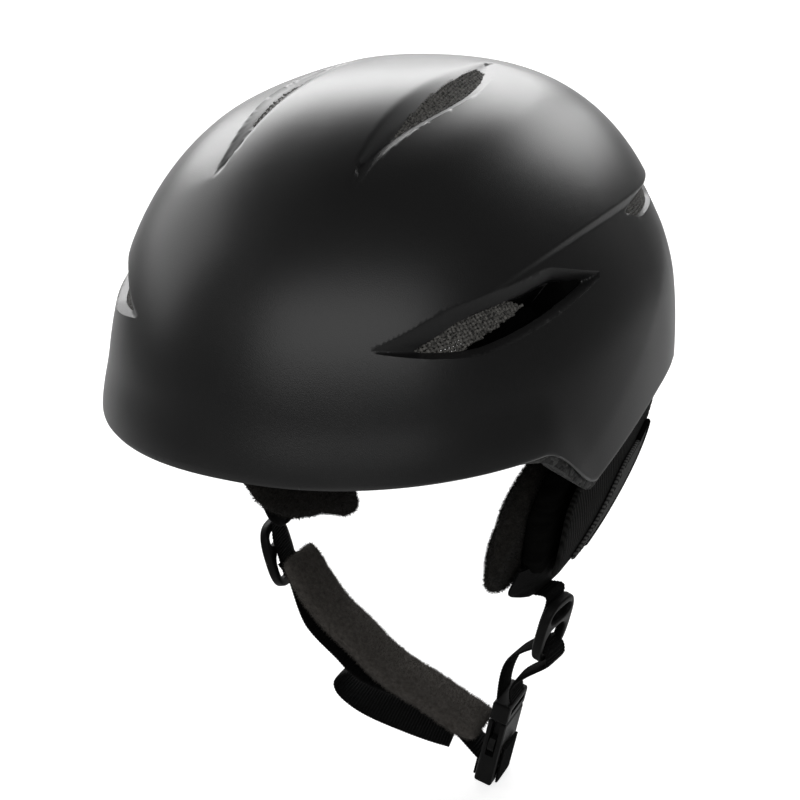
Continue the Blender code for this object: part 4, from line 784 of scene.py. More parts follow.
def woven_lines(level, place, middle, half_span, turn):
    """Over-and-under thread lines in a panel where level() is inside; place() puts its spots in space."""
    lines = []
    c, s = math.cos(turn), math.sin(turn)
    count, steps = int(half_span / THREAD_PITCH), int(half_span / THREAD_STEP)
    for family in (0, 1):
        for k in range(-count, count + 1):
            along = np.arange(-steps, steps + 1) * THREAD_STEP
            off = np.full(len(along), k * THREAD_PITCH)
            p, q = (along, off) if family == 0 else (off, along)
            a, b = middle[0] + c * p - s * q, middle[1] + s * p + c * q
            wave = np.cos(math.pi * along / THREAD_PITCH) * (-1) ** (k + family)
            inside = level(a, b) > -MESH_OVERLAP
            spots = place(a, b, wave * THREAD_RADIUS * THREAD_LIFT)
            for keep, group in itertools.groupby(zip(inside, spots), key=lambda pair: pair[0]):
                run = [spot for _, spot in group]
                if keep and len(run) > 2:
                    lines.append(run)
    return lines


def sunk(base, depth):
    return base * (1 - depth / np.linalg.norm(base, axis=1))[:, None]


def wall_place(side, depth):
    """Puts (y, z) spots of a woven panel at a depth below the plain dome."""
    def place(y, z, lift):
        return sunk(columns(side * dome_x(y, z), y, z), depth - lift)
    return place


def side_panel(side):
    def level(y, z):
        return np.minimum(side_hole(columns(y, y, z)), -behind_mesh(y, z))
    return woven_lines(level, wall_place(side, SIDE_MESH_DEPTH), *SIDE_PANEL)


def rear_panel(side):
    def level(y, z):
        return rear_hole(columns(y, y, z))
    return woven_lines(level, wall_place(side, REAR_MESH_DEPTH), *REAR_PANEL)


def top_panel(side):
    def level(x, y):
        return slot_hole(columns(x, y, y))

    def place(x, y, lift):
        base = columns(side * x, y, dome_z(x, y))
        return sunk(base, TOP_MESH_SHARE * scoop_depth(base) + TOP_MESH_DEPTH - lift)
    return woven_lines(level, place, *TOP_PANEL)


nylon_mesh = mottled_finish(
    "nylon_mesh", 0.6, 0.25, (950.0, 2.0), ((0.35, (0.020, 0.020, 0.019)), (0.65, (0.15, 0.145, 0.135))))
for word, side in (("left", 1), ("right", -1)):
    for part, panel in (("side", side_panel), ("rear", rear_panel), ("top", top_panel)):
        name = part + "_mesh_" + word
        woven = threads_along(name, panel(side), THREAD_RADIUS, THREAD_SIDES, nylon_mesh)
        add_piece(name, woven, nylon_mesh, "helmet", "mesh_grey", part + "_vent_mesh_" + word)

# Comfort pads
# Soft foam in dark grey short-pile fleece, held to the liner's inner face: brow, temples, back and crown.
# Each is crowned in the middle and low at its sewn edge, and carries a pile of short fibres.

PAD_THICKNESS, PAD_EDGE, PAD_GAP, PAD_ROWS = 0.008, 0.002, 0.0010, 12
PAD_DIMPLE, LOFT_CREASE, CROWN_HALF, CROWN_ENDS, CROWN_RINGS = 0.0009, 50, 0.13, (-0.50, 0.46), 49
FIBRE_RADIUS, FIBRE_LEAN = 0.00011, 0.9
PAD_PILE = (1.1e6, 0.0013)
# Stands short tapered fibres on a surface, leaning at random.
PILE_TREE, PILE_KEYS = wired_tree(
    "fleece_pile", (("Cloth", "Geometry"), ("Density", "Float"), ("Length", "Float"), ("Radius", "Float"),
                    ("Lean", "Float"), ("Seed", "Int"), ("Material", "Material")), "Pile",
    {"in": "NodeGroupInput", "out": "NodeGroupOutput", "scatter": "GeometryNodeDistributePointsOnFaces",
     "fibre": "GeometryNodeMeshCone", "stand": "GeometryNodeInstanceOnPoints",
     "lean": "GeometryNodeRotateInstances", "real": "GeometryNodeRealizeInstances",
     "paint": "GeometryNodeSetMaterial", "tilt": "FunctionNodeRandomValue", "size": "FunctionNodeRandomValue",
     "most": "ShaderNodeCombineXYZ", "least": "ShaderNodeCombineXYZ", "flip": "ShaderNodeMath"},
    (("flip.operation", "MULTIPLY"), ("flip.1", -1.0), ("tilt.data_type", "FLOAT_VECTOR"),
     ("size.data_type", "FLOAT"), ("size.2", 0.55), ("size.3", 1.25), ("least.Z", -3.1), ("most.Z", 3.1),
     ("fibre.Vertices", 3), ("fibre.Radius Top", 0.0)),
    (("in.Cloth", "scatter.Mesh"), ("in.Density", "scatter.Density"), ("in.Seed", "scatter.Seed"),
     ("in.Radius", "fibre.Radius Bottom"), ("in.Length", "fibre.Depth"), ("in.Seed", "tilt.Seed"),
     ("in.Seed", "size.Seed"), ("in.Material", "paint.Material"), ("in.Lean", "flip.0"),
     ("in.Lean", "most.X"), ("in.Lean", "most.Y"), ("flip.Value", "least.X"), ("flip.Value", "least.Y"),
     ("least.Vector", "tilt.0"), ("most.Vector", "tilt.1"), ("scatter.Points", "stand.Points"),
     ("scatter.Rotation", "stand.Rotation"), ("fibre.Mesh", "stand.Instance"), ("size.1", "stand.Scale"),
     ("stand.Instances", "lean.Instances"), ("tilt.0", "lean.Rotation"), ("lean.Instances", "real.Geometry"),
     ("real.Geometry", "paint.Geometry"), ("paint.Geometry", "out.Pile")))


def fleece_finish(name, dark, light):
    """Short-pile fleece: clumps of lighter and darker fibre over a soft nap, with a faint sheen."""
    return mottled_finish(name, 0.95, 0.08, (480.0, 5.0, 0.75), ((0.32, dark), (0.68, light)),
                          bumps=(((1500.0, 2.0), 0.0005),), sheen=(0.04, 0.5))


fleece = fleece_finish("grey_fleece", (0.007, 0.0066, 0.0058), (0.023, 0.0215, 0.019))


def add_pile(name, cloth, body, density, length, seed, finish):
    """Fibres on a fleece piece, as a piece of their own beside it."""
    values = {"Density": density, "Length": length, "Radius": FIBRE_RADIUS, "Lean": FIBRE_LEAN, "Seed": seed,
              "Material": finish}
    settings = {PILE_KEYS[word]: value for word, value in values.items()}
    return add_piece(name, run_tree(name, cloth.copy(), PILE_TREE, settings), finish, body, "fleece_grey")


def loft_mesh(name, rings):
    """A closed smooth mesh through loops of equal length, with a fan at each end."""
    rings = np.asarray(rings, float)
    rows, count = rings.shape[:2]
    verts = [tuple(p) for p in rings.reshape(-1, 3)]
    faces = []
    for i in range(rows - 1):
        for k in range(count):
            after = (k + 1) % count
            faces.append((i * count + k, i * count + after, (i + 1) * count + after, (i + 1) * count + k))
    for row in (0, rows - 1):
        tip = len(verts)
        verts.append(tuple(rings[row].mean(axis=0)))
        faces.extend((row * count + k, row * count + (k + 1) % count, tip) for k in range(count))
    bm = bmesh.new()
    mesh = bpy.data.meshes.new(name)
    mesh.from_pydata(verts, [], faces)
    bm.from_mesh(mesh)
    return shaded_mesh(bm, mesh, LOFT_CREASE)


def crowned(s, t):
    """Share of full thickness across a pad, falling to its sewn edge."""
    return ((1 - np.abs(2 * s - 1) ** 4) * (1 - np.abs(2 * t - 1) ** 3)) ** 0.5


def head_pad_mesh(name, bearings, radii, cells):
    """A crowned pad on the head form, over bearings in degrees and shares of the way from crown to rim."""
    rings = []
    t = np.linspace(0, 1, PAD_ROWS + 1)
    for s in np.linspace(0, 1, cells + 1):
        bearing = np.full(len(t), math.radians(bearings[0] + (bearings[1] - bearings[0]) * s))
        base = dome_points((radii[0] + (radii[1] - radii[0]) * t) * rim_polar(bearing), bearing)
        rings.append(head_pad_ring(base, s, t))
    return loft_mesh(name, rings)


def head_pad_ring(base, s, t):
    dimple = PAD_DIMPLE * np.cos(t * 2 * math.pi * 3) * np.cos(s * 2 * math.pi * 5)
    rise = PAD_EDGE + (PAD_THICKNESS - PAD_EDGE + dimple) * crowned(s, t)
    outer, inner = head_points(base, PAD_GAP), head_points(base, PAD_GAP + rise)
    return np.concatenate([outer, inner[::-1]])


def crown_pad_mesh(name):
    front, back = CROWN_ENDS
    t = np.linspace(0, 1, PAD_ROWS + 1)
    rings = []
    for s in np.linspace(0, 1, CROWN_RINGS):
        uv = columns(CROWN_HALF * (2 * t - 1), np.full(len(t), front + (back - front) * s))
        rings.append(head_pad_ring(chart_points(uv), s, t))
    return loft_mesh(name, rings)


comfort_pads = (
    ("brow_pad", head_pad_mesh("brow_cushion", (-58, 58), (0.83, 0.985), 72)),
    ("temple_pad_left", head_pad_mesh("temple_cushion_left", (80, 118), (0.70, 0.86), 26)),
    ("temple_pad_right", head_pad_mesh("temple_cushion_right", (-118, -80), (0.70, 0.86), 26)),
    ("back_pad", head_pad_mesh("back_cushion", (142, 218), (0.62, 0.82), 40)),
    ("crown_pad", crown_pad_mesh("crown_cushion")))
for seed, (node, mesh) in enumerate(comfort_pads):
    add_piece(mesh.name, mesh, fleece, "helmet", "fleece_grey", node)
    add_pile(mesh.name + "_pile", mesh, "helmet", *PAD_PILE, seed, fleece)

# Ear flaps
# A flap hangs from a plastic strip in the liner on each side. A fleece cushion lies against the ear, a black
# pleated nylon wall joins it to a ribbed cover, and a second ribbed layer with a bound edge is sewn on that.

FLAP_FACE_X, FLAP_LEAN, FLAP_BOW, FLAP_CURL, FLAP_CURL_Z = 0.094, 0.22, 0.9, 3.2, -0.020
FLAP_RIGHT_IN, FLAP_RIGHT_BACK = 0.006, 0.006
FLAP_TOP_Z, FLAP_BOTTOM_Z = 0.0165, -0.062
GUSSET_ENDS, COVER_ENDS = (-0.050, 0.072), (-0.040, 0.087)
POCKET_OUTLINE = (
    (0.026, -0.022), (0.052, -0.019), (0.075, -0.019), (0.070, -0.040), (0.050, -0.0545), (0.016, -0.0590),
    (-0.004, -0.057), (0.010, -0.040))
CUSHION_LEFT = (
    (-0.040, 0.0005), (-0.056, -0.0155), (-0.063, -0.037), (-0.055, -0.057), (-0.030, -0.069),
    (-0.004, -0.071), (0.022, -0.069), (0.046, -0.055), (0.057, -0.036), (0.064, -0.010), (0.059, 0.0005),
    (0.032, 0.0165), (0.000, 0.0155), (-0.016, 0.0080))
CUSHION_RIGHT = (
    (-0.054, 0.0005), (-0.064, -0.0145), (-0.062, -0.030), (-0.052, -0.046), (-0.030, -0.059),
    (-0.004, -0.0680), (0.010, -0.0725), (0.018, -0.0725), (0.0225, -0.0630), (0.030, -0.032),
    (0.046, 0.0005), (0.030, 0.0165), (0.000, 0.0155), (-0.032, 0.0040))
COVER_THICKNESS, COVER_BULGE, POCKET_FACES = 0.0020, 0.0010, (0.0005, 0.0020)
GUSSET_FACES, CUSHION_FACES = (-0.0144, -0.0048), (-0.0289, -0.0149)
PLEAT, PLEAT_DEPTH, PLEAT_POWER, PLEAT_START = 0.0120, 0.030, 0.35, 0.8
LAYER_SHARES = (0.06, 0.2, 0.35, 0.5, 0.65, 0.8, 0.9, 0.96)
CUSHION_SHARES = (
    (0.08, 1.0), (0.25, 1.0), (0.45, 0.99), (0.64, 0.96), (0.80, 0.88), (0.91, 0.74), (0.97, 0.56),
    (0.98, 0.38), (0.955, 0.20), (0.90, 0.08), (0.78, 0.03), (0.5, 0.03), (0.2, 0.03))
CUSHION_SPREAD, CUSHION_DEPTHS, CUSHION_CLEAR = 0.975, (0.04, 0.84), 0.0002
CUSHION_VOXEL, CUSHION_SWELL, STUFFING_PRESSURE, STUFFING_FRAMES = 0.0045, 0.003, 4.0, 20
EAR_PILE = (2.2e6, 0.0017)
LAYER_EDGE, OUTLINE_STEPS, POCKET_STEPS = 0.03, 12, 14
BINDING_RADIUS, BINDING_SIDES = 0.0013, 10
STITCH, STITCH_GAP, STITCH_RADIUS = 0.0022, 0.0010, 0.00016
STITCH_SHARES = np.array((0.0, 0.2, 0.5, 0.8, 1.0))
SEAM_LIFT, POCKET_SEAM, COVER_SEAM = 0.0001, 0.90, 0.945


def smooth_path(points, per, closed=False):
    """A smooth curve through points, with per steps between neighbours."""
    p = np.array(points, float)
    count = len(p)
    made = []
    for k in range(count if closed else count - 1):
        near = np.arange(k - 1, k + 3)
        a, b, c, d = p[near % count if closed else np.clip(near, 0, count - 1)]
        for t in np.arange(per) / per:
            made.append(0.5 * (2 * b + (c - a) * t + (2 * a - 5 * b + 4 * c - d) * t ** 2
                               + (3 * b - a - 3 * c + d) * t ** 3))
    if not closed:
        made.append(p[-1])
    return np.array(made)


def flap_outline(ends):
    """Closed outline (y, z) of a flap layer between its front and back ends."""
    front, back = ends
    top, bottom = FLAP_TOP_Z, FLAP_BOTTOM_Z
    points = (
        (front + 0.010, top - 0.016), (front, top - 0.031), (front + 0.002, bottom + 0.032),
        (front + 0.012, bottom + 0.014), (front / 2 + 0.002, bottom + 0.002), (-0.004, bottom),
        (back - 0.042, bottom + 0.002), (back - 0.018, bottom + 0.016), (back - 0.007, bottom + 0.035),
        (back, top - 0.0265), (back - 0.005, top - 0.0160), (back / 2, top), (0.000, top - 0.001),
        (front / 2, top - 0.0125))
    return smooth_path(points, OUTLINE_STEPS, closed=True)


def flap_x(y, z, side):
    curl = FLAP_CURL * np.maximum(FLAP_CURL_Z - z, 0.0) ** 2
    return FLAP_FACE_X - (FLAP_RIGHT_IN if side < 0 else 0.0) + FLAP_LEAN * z - FLAP_BOW * y * y - curl


def flap_spots(side, y, z, offset):
    """Places on a flap: y and z in the left flap's outline, offset outwards from its outer face."""
    y = y + (FLAP_RIGHT_BACK if side < 0 else 0.0)
    high = np.clip((FLAP_TOP_Z - z) / (FLAP_TOP_Z - FLAP_BOTTOM_Z), 0.0, 1.0)
    bulge = COVER_BULGE * np.sin(math.pi * high) * (offset > -1.01 * COVER_THICKNESS)
    return columns(side * (flap_x(y, z, side) + offset + bulge), y, z + 0 * y)


def arc_along(line):
    steps = np.linalg.norm(np.diff(line, axis=0), axis=1)
    return np.concatenate([[0.0], np.cumsum(steps)])


def flap_layer(name, outline, side, steps, pleats=0.0):
    """A closed flap layer from (share of the outline, offset) steps, with pleats round its edge."""
    middle = outline.mean(axis=0)
    wave = np.abs(np.cos(math.pi * arc_along(outline) / PLEAT)) ** PLEAT_POWER - 1.0
    rings = []
    for share, offset in steps:
        spread = share * (1 + pleats * wave * ease(PLEAT_START, 1.0, np.array(share)))
        ring = middle + (outline - middle) * spread[:, None]
        rings.append(flap_spots(side, ring[:, 0], ring[:, 1], offset))
    return loft_mesh(name, rings)


def flat_steps(low, high, edge):
    """Steps of a flat layer with a rounded edge."""
    inside = [(share, low) for share in LAYER_SHARES]
    outside = [(share, high) for share in reversed(LAYER_SHARES)]
    middle = (low + high) / 2
    turn = [(1 - edge * 0.5, low), (1 - edge * 0.12, (low + middle) / 2), (1.0, middle),
            (1 - edge * 0.12, (high + middle) / 2), (1 - edge * 0.5, high)]
    return inside + turn + outside


def mesh_spots(mesh):
    return np.array([vert.co for vert in mesh.vertices])


def set_spots(mesh, spots):
    for vert, spot in zip(mesh.vertices, spots):
        vert.co = spot


def plump(name, mesh, voxel, cap, keep_clear):
    """The mesh swollen by stuffing: an even net, cloth under pressure, then one subdivision."""
    net = add_object(name + "_net", mesh)
    net.modifiers.new("even_net", "REMESH").voxel_size = voxel
    even = applied_mesh(net)
    net.modifiers.clear()
    net.data = even
    start = mesh_spots(even)
    moved = start
    cloth = net.modifiers.new("stuffing", "CLOTH")
    cloth.settings.use_pressure = True
    cloth.settings.uniform_pressure_force = STUFFING_PRESSURE
    cloth.settings.effector_weights.gravity = 0.0
    for step in range(1, STUFFING_FRAMES + 1):
        bpy.context.scene.frame_set(step)
    graph = bpy.context.evaluated_depsgraph_get()
    moved = mesh_spots(net.evaluated_get(graph).data)
    net.modifiers.clear()
    bpy.context.scene.frame_set(1)
    travel = moved - start
    length = np.maximum(np.linalg.norm(travel, axis=1), 1e-9)
    moved = keep_clear(start + travel * np.minimum(1.0, cap / length)[:, None])
    set_spots(even, moved)
    smooth = net.modifiers.new("smooth", "SUBSURF")
    smooth.levels = smooth.render_levels = 1
    made = applied_mesh(net)
    made.name = name
    bpy.data.objects.remove(net, do_unlink=True)
    made.shade_smooth()
    return made


def make_cushion(word, side):
    low, high = CUSHION_FACES
    least, spread = CUSHION_DEPTHS
    steps = [(CUSHION_SPREAD * share, high + (low - high) * (least + spread * depth))
             for share, depth in CUSHION_SHARES]
    name = "ear_cushion_" + word
    outline = smooth_path(CUSHION_LEFT if side > 0 else CUSHION_RIGHT, OUTLINE_STEPS, closed=True)
    start = flap_layer(name + "_start", outline, side, steps)

    def keep_clear(p):
        face = flap_x(p[:, 1], p[:, 2], side) + high
        p[:, 0] = side * np.minimum(side * p[:, 0], face - CUSHION_CLEAR)
        return p
    return plump(name, start, CUSHION_VOXEL, CUSHION_SWELL, keep_clear)


def along_line(line, arc, at):
    return columns(*(np.interp(at, arc, line[:, k]) for k in range(3)))


def dashes(line):
    """Short stitches along a line of points in space."""
    arc = arc_along(line)
    made = []
    for start in np.arange(STITCH_GAP, arc[-1] - STITCH, STITCH + STITCH_GAP):
        made.append(along_line(line, arc, start + STITCH * STITCH_SHARES))
    return made


def ribbed_cloth_finish(name, dark, light):
    """Knitted cover cloth with fine diagonal ribs."""
    finish, shader = plain_finish(name, light, 0.9, 0.03)
    shader.inputs["Sheen Weight"].default_value = 0.015
    shader.inputs["Sheen Roughness"].default_value = 0.45
    ribs = add_texture(finish, "ShaderNodeTexWave", 160.0, (52, 0, 0), Distortion=0.6, Detail=1.0)
    ribs.bands_direction = "Z"
    add_tint(finish, shader, ribs.outputs["Fac"], ((0.15, dark), (0.75, light)))
    add_bump(finish, shader, add_noise(finish, 1400.0, 2.0), 0.0002)
    add_bump(finish, shader, ribs.outputs["Fac"], 0.0003)
    return finish


cover_cloth = ribbed_cloth_finish("ribbed_cover_cloth", (0.0026, 0.0026, 0.0024), (0.0110, 0.0110, 0.0104))
# The pocket layer is the cover's black ribbed cloth coloured lighter: a painted highlight of the light behind
# it.
painted_lit_pocket_cloth = ribbed_cloth_finish("ribbed_pocket_cloth", (0.036, 0.036, 0.036), (0.125, 0.125, 0.122))
# Thin black lining nylon, creased where it is gathered; its colour darkens into the crease hollows as painted
# shade.
creases_and_shade = ((60.0, 60.0, 240.0), 4.0)
lining_nylon = mottled_finish(
    "lining_nylon", 0.8, 0.005, creases_and_shade, ((0.3, (0.0018, 0.0018, 0.0017)), (0.75, (0.0050, 0.0050, 0.0047))),
    bumps=((creases_and_shade, 0.0008), ((2400.0, 0.0), 0.0001)))
# Black moulded buckle plastic with a fine spark texture and an uneven gloss.
moulded_plastic = mottled_finish(
    "moulded_plastic", 0.45, 0.07, (120.0, 3.0),
    ((0.3, (0.0032, 0.0032, 0.0032)), (0.7, (0.0070, 0.0070, 0.0068))),
    bumps=(((1900.0, 2.0), 0.00006),), gloss=(0.34, 0.50))
sewing_thread, _ = plain_finish("sewing_thread", (0.008, 0.008, 0.008), 0.8, 0.1)


def gusset_steps():
    """Steps of the flap's side wall, which bulges a little between its faces."""
    low, high = GUSSET_FACES
    depth = high - low
    wall = [(share, low) for share in LAYER_SHARES[:-1]]
    wall += [(0.945, low + 0.04 * depth), (0.97, low + 0.2 * depth), (0.985, low + 0.5 * depth),
             (0.97, high - 0.2 * depth), (0.945, high - 0.04 * depth)]
    return wall + [(share, high) for share in reversed(LAYER_SHARES[:-1])]


def make_flap(word, side, seed):
    def sew(part, mesh, finish, slot, *nodes):
        named = [node + "_" + word for node in nodes]
        return add_piece(part + "_" + word, mesh, finish, "helmet", slot, *named)

    def layer(part, line, steps, finish, slot, node, pleats=0.0):
        sew(part, flap_layer(part + "_" + word, line, side, steps, pleats), finish, slot, node)
    cover_line = flap_outline(COVER_ENDS)
    pocket_line = smooth_path(POCKET_OUTLINE, POCKET_STEPS, closed=True)
    layer("ear_cover_cloth", cover_line, flat_steps(-COVER_THICKNESS, 0.0, LAYER_EDGE), cover_cloth,
          "cloth_ribbed", "ear_cover")
    layer("ear_pocket_cloth", pocket_line, flat_steps(*POCKET_FACES, LAYER_EDGE), painted_lit_pocket_cloth,
          "cloth_ribbed", "ear_pocket")
    layer("ear_wall", flap_outline(GUSSET_ENDS), gusset_steps(), lining_nylon, "gusset_black", "ear_gusset",
          PLEAT_DEPTH)
    cushion = make_cushion(word, side)
    sew("ear_cushion", cushion, fleece, "fleece_grey", "ear_pad")
    add_pile("ear_pile_" + word, cushion, "helmet", *EAR_PILE, seed, fleece)
    rear = pocket_line[POCKET_STEPS:5 * POCKET_STEPS + 1]
    binding = [flap_spots(side, rear[:, 0], rear[:, 1], BINDING_RADIUS)]
    bound = threads_along("ear_binding_" + word, binding, BINDING_RADIUS, BINDING_SIDES, lining_nylon)
    sew("ear_binding", bound, lining_nylon, "gusset_black")
    seam = []
    for line, share, face in ((pocket_line, POCKET_SEAM, POCKET_FACES[1]), (cover_line, COVER_SEAM, 0.0)):
        middle = line.mean(axis=0)
        inset = middle + (line - middle) * share
        seam += dashes(flap_spots(side, inset[:, 0], inset[:, 1], face + SEAM_LIFT))
    sewn = threads_along("ear_stitches_" + word, seam, STITCH_RADIUS, THREAD_SIDES, sewing_thread)
    sew("ear_stitches", sewn, sewing_thread, "webbing_black")
    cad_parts["ear_clip_" + word].material_slots[0].material = moulded_plastic


make_flap("left", 1, 21)
make_flap("right", -1, 22)

# Upper webs
# A plain sewn tongue of the same nylon comes out between the flap's layers and narrows to black webbing that
# goes through the slider. The strap swings here.

STRAP_Y, WEB_WIDTH, WEB_THICKNESS, FIT_GAP = -0.012, 0.016, 0.0018, 0.0003
RIB_PITCH, RIB_DEPTH, RIB_NARROWING, WEB_SECTION = 0.0015, 0.45, 0.015, 20
PLAIN_HALF_WIDTH = 0.6 * WEB_WIDTH
TONGUE_HANG, TONGUE_FREE, TONGUE_BLEND = 0.0075, (0.012, 0.001), 0.010
TONGUE_WIDTH, TONGUE_OFFSET, TONGUE_SHIFT = 0.068, -0.0034, 0.0040
TONGUE_TUCK, TONGUE_TUCK_ENDS, UPPER_WEB_END, WEB_STEPS = 0.0085, (0.014, 0.046), -0.0105, 8
WEB_POWERS = (0.5, 0.4)
SLIDER_LEFT, SLIDER_RIGHT = (0.073, -0.0890), (-0.0715, -0.0820)
SLIDERS = (("left", 1, SLIDER_LEFT), ("right", -1, SLIDER_RIGHT))
SLIDER_LEAN = math.radians(14)
SLIDER_TURN, SLIDER_TURN_FULL, SLIDER_TURN_ENDS = math.radians(9), (-0.018, 0.0155), (-0.038, 0.028)
SLIDER_WIDTH, SLIDER_HEIGHT, SLIDER_BAND, SLIDER_THICKNESS = 0.0256, 0.034, 0.0042, 0.0046
SLIDER_BAR, SLIDER_BAR_Z, SLIDER_POWER = 0.0036, 0.0035, 2.8


def leaning_point(origin, lean, across, along):
    """Distance from the mid-plane and height of a place on a leaning face, outwards across it and up it."""
    x = abs(origin[0]) + across * math.cos(lean) + along * math.sin(lean)
    return (x, origin[1] - across * math.sin(lean) + along * math.cos(lean))


def slider_point(centre, across, along):
    return leaning_point(centre, SLIDER_LEAN, across, along)


def beside(thickness):
    """Distance between the middles of a web and of what it lies on."""
    return thickness / 2 + FIT_GAP + WEB_THICKNESS / 2


def turned_at_slider(spots, slider):
    """Places near a slider, which hangs with its face turned to the front and twists the webs."""
    high = spots[:, 2] - slider[1]
    share = ease(SLIDER_TURN_ENDS[0], SLIDER_TURN_FULL[0], high)
    share = share * (1 - ease(SLIDER_TURN_FULL[1], SLIDER_TURN_ENDS[1], high))
    turn = -math.copysign(SLIDER_TURN, slider[0]) * share
    c, s = np.cos(turn), np.sin(turn)
    x, y = spots[:, 0] - slider[0], spots[:, 1] - STRAP_Y
    return columns(slider[0] + x * c - y * s, STRAP_Y + x * s + y * c, spots[:, 2])


def signed_power(values, power):
    return np.sign(values) * np.abs(values) ** power


def strap_mesh(name, middle, across, half_widths, half_thickness, pitch):
    """Flat webbing along a line in space: across points over its width, and ribs cross it at a pitch."""
    arc = arc_along(middle)
    at = np.arange(0.0, arc[-1], pitch / 4)
    middle, across = along_line(middle, arc, at), unit_rows(along_line(across, arc, at))
    half_widths = np.interp(at, arc, half_widths)
    through = unit_rows(np.cross(across, np.gradient(middle, axis=0)))
    rib = 0.5 + 0.5 * np.cos(2 * math.pi * at / pitch)
    rib = np.where(half_widths > PLAIN_HALF_WIDTH, 1.0, rib)
    angles = 2 * math.pi * (np.arange(WEB_SECTION) + 0.5) / WEB_SECTION
    wide, deep = signed_power(np.cos(angles), WEB_POWERS[0]), signed_power(np.sin(angles), WEB_POWERS[1])
    spread = half_widths[:, None] * wide[None, :] * (1 - RIB_NARROWING + RIB_NARROWING * rib[:, None])
    lift = half_thickness * deep[None, :] * (1 - RIB_DEPTH + RIB_DEPTH * rib[:, None])
    rings = middle[:, None, :] + across[:, None, :] * spread[:, :, None]
    return loft_mesh(name, rings + through[:, None, :] * lift[:, :, None])


# Woven nylon tape: black yarns over the modelled cross ribs.
yarn = (1300.0, 3.0)
webbing = mottled_finish(
    "nylon_webbing", 0.65, 0.03, yarn, ((0.35, (0.0020, 0.0020, 0.0020)), (0.7, (0.0070, 0.0070, 0.0070))),
    bumps=((yarn, 0.00025),))


def upper_web_mesh(word, side, slider):
    wide, narrow = TONGUE_WIDTH / 2, WEB_WIDTH / 2
    if side > 0:
        sewn = ((0.014, wide), (0.008, wide), (0.003, wide * 0.98), (-0.001, wide * 0.88),
                (-0.0040, wide * 0.70), (-0.0068, wide * 0.46), (-0.0090, narrow))
    else:
        sewn = ((0.026, wide * 0.7), (0.018, wide * 0.7), (0.010, wide * 0.7), (0.003, wide * 0.58),
                (0.0, wide * 0.42), (-0.0012, narrow))
    spots = []
    for rise, half in sewn:
        z = FLAP_BOTTOM_Z + rise
        spots.append((flap_x(STRAP_Y, z, side) + TONGUE_OFFSET, z, half))
    for along in (SLIDER_HEIGHT / 2, SLIDER_BAR_Z, UPPER_WEB_END):
        spots.append((*slider_point(slider, -beside(SLIDER_THICKNESS), along), narrow))
    line = smooth_path(spots, WEB_STEPS)
    places = columns(side * line[:, 0], np.full(len(line), STRAP_Y), line[:, 1])
    across = np.tile((0.0, 1.0, 0.0), (len(line), 1))
    mesh = strap_mesh("upper_webbing_" + word, places, across, line[:, 2], WEB_THICKNESS / 2, RIB_PITCH)
    spots = mesh_spots(mesh)
    z = spots[:, 2]
    sewn_in = ease(FLAP_BOTTOM_Z - TONGUE_FREE[0], FLAP_BOTTOM_Z - TONGUE_FREE[1], z)
    spots[:, 1] += TONGUE_SHIFT * sewn_in
    y = spots[:, 1]
    bow = flap_x(y, z, side) - flap_x(STRAP_Y, z, side)
    tuck = TONGUE_TUCK * ease(*TONGUE_TUCK_ENDS, -y)
    spots[:, 0] += side * sewn_in * (bow - tuck)
    set_spots(mesh, turned_at_slider(spots, slider))
    return mesh


def add_crossing(name, mesh, finishes, slot, bodies, start, end, *nodes):
    """A soft piece that crosses a joint, baked in place; it does not follow the bodies on either side."""
    mesh.materials.clear()
    for finish in finishes:
        mesh.materials.append(finish)
    piece = add_object(name, mesh)
    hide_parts(*nodes)
    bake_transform(piece)
    return piece


for word, side, slider in SLIDERS:
    mesh = upper_web_mesh(word, side, slider)
    x = side * flap_x(STRAP_Y, FLAP_BOTTOM_Z, side)
    for face in mesh.polygons:
        face.material_index = 1 if face.center.z > FLAP_BOTTOM_Z - TONGUE_HANG else 0
    add_crossing(mesh.name, mesh, (webbing, lining_nylon), "webbing_black", ("helmet", "chin_strap"),
                 (x, STRAP_Y, FLAP_BOTTOM_Z), (x, STRAP_Y, FLAP_BOTTOM_Z - TONGUE_BLEND), "upper_web_" + word)

# Strap sliders
# Oval rings of black moulded plastic with a crossbar. The upper web goes behind the crossbar, and the chin
# webbing goes round the lower band.

SLIDER_BEVEL, SLIDER_CREASE, BEVEL_STEPS, MERGE = 0.0012, 35, 3, 0.00002
RING_POINTS, HOLE_POINTS = 72, 48


def rounded_loop(half_width, half_height, middle, points, power):
    angle = 2 * math.pi * np.arange(points) / points
    c, s = np.cos(angle), np.sin(angle)
    y = half_width * signed_power(c, 2 / power)
    return columns(y, half_height * signed_power(s, 2 / power) + middle)


def plate_mesh(name, loops, thickness, bevel, place):
    """A flat plate with rounded edges from closed (y, z) loops, the first outside and the rest holes."""
    curve = bpy.data.curves.new(name, "CURVE")
    curve.dimensions, curve.fill_mode = "2D", "BOTH"
    curve.extrude, curve.bevel_depth, curve.offset = thickness / 2 - bevel, bevel, -bevel
    curve.bevel_resolution = BEVEL_STEPS
    for loop in loops:
        spline = curve.splines.new("POLY")
        spline.points.add(len(loop) - 1)
        for point, (a, b) in zip(spline.points, loop):
            point.co = (a, b, 0, 1)
        spline.use_cyclic_u = True
    holder = add_object(name + "_outline", curve)
    mesh = applied_mesh(holder)
    mesh.name = name
    bpy.data.objects.remove(holder, do_unlink=True)
    stand = Matrix(((0, 0, 1, 0), (1, 0, 0, 0), (0, 1, 0, 0), (0, 0, 0, 1)))
    bm = bmesh.new()
    bm.from_mesh(mesh)
    bmesh.ops.remove_doubles(bm, verts=bm.verts, dist=MERGE)
    bmesh.ops.transform(bm, matrix=place @ stand, verts=bm.verts)
    return shaded_mesh(bm, mesh, SLIDER_CREASE)


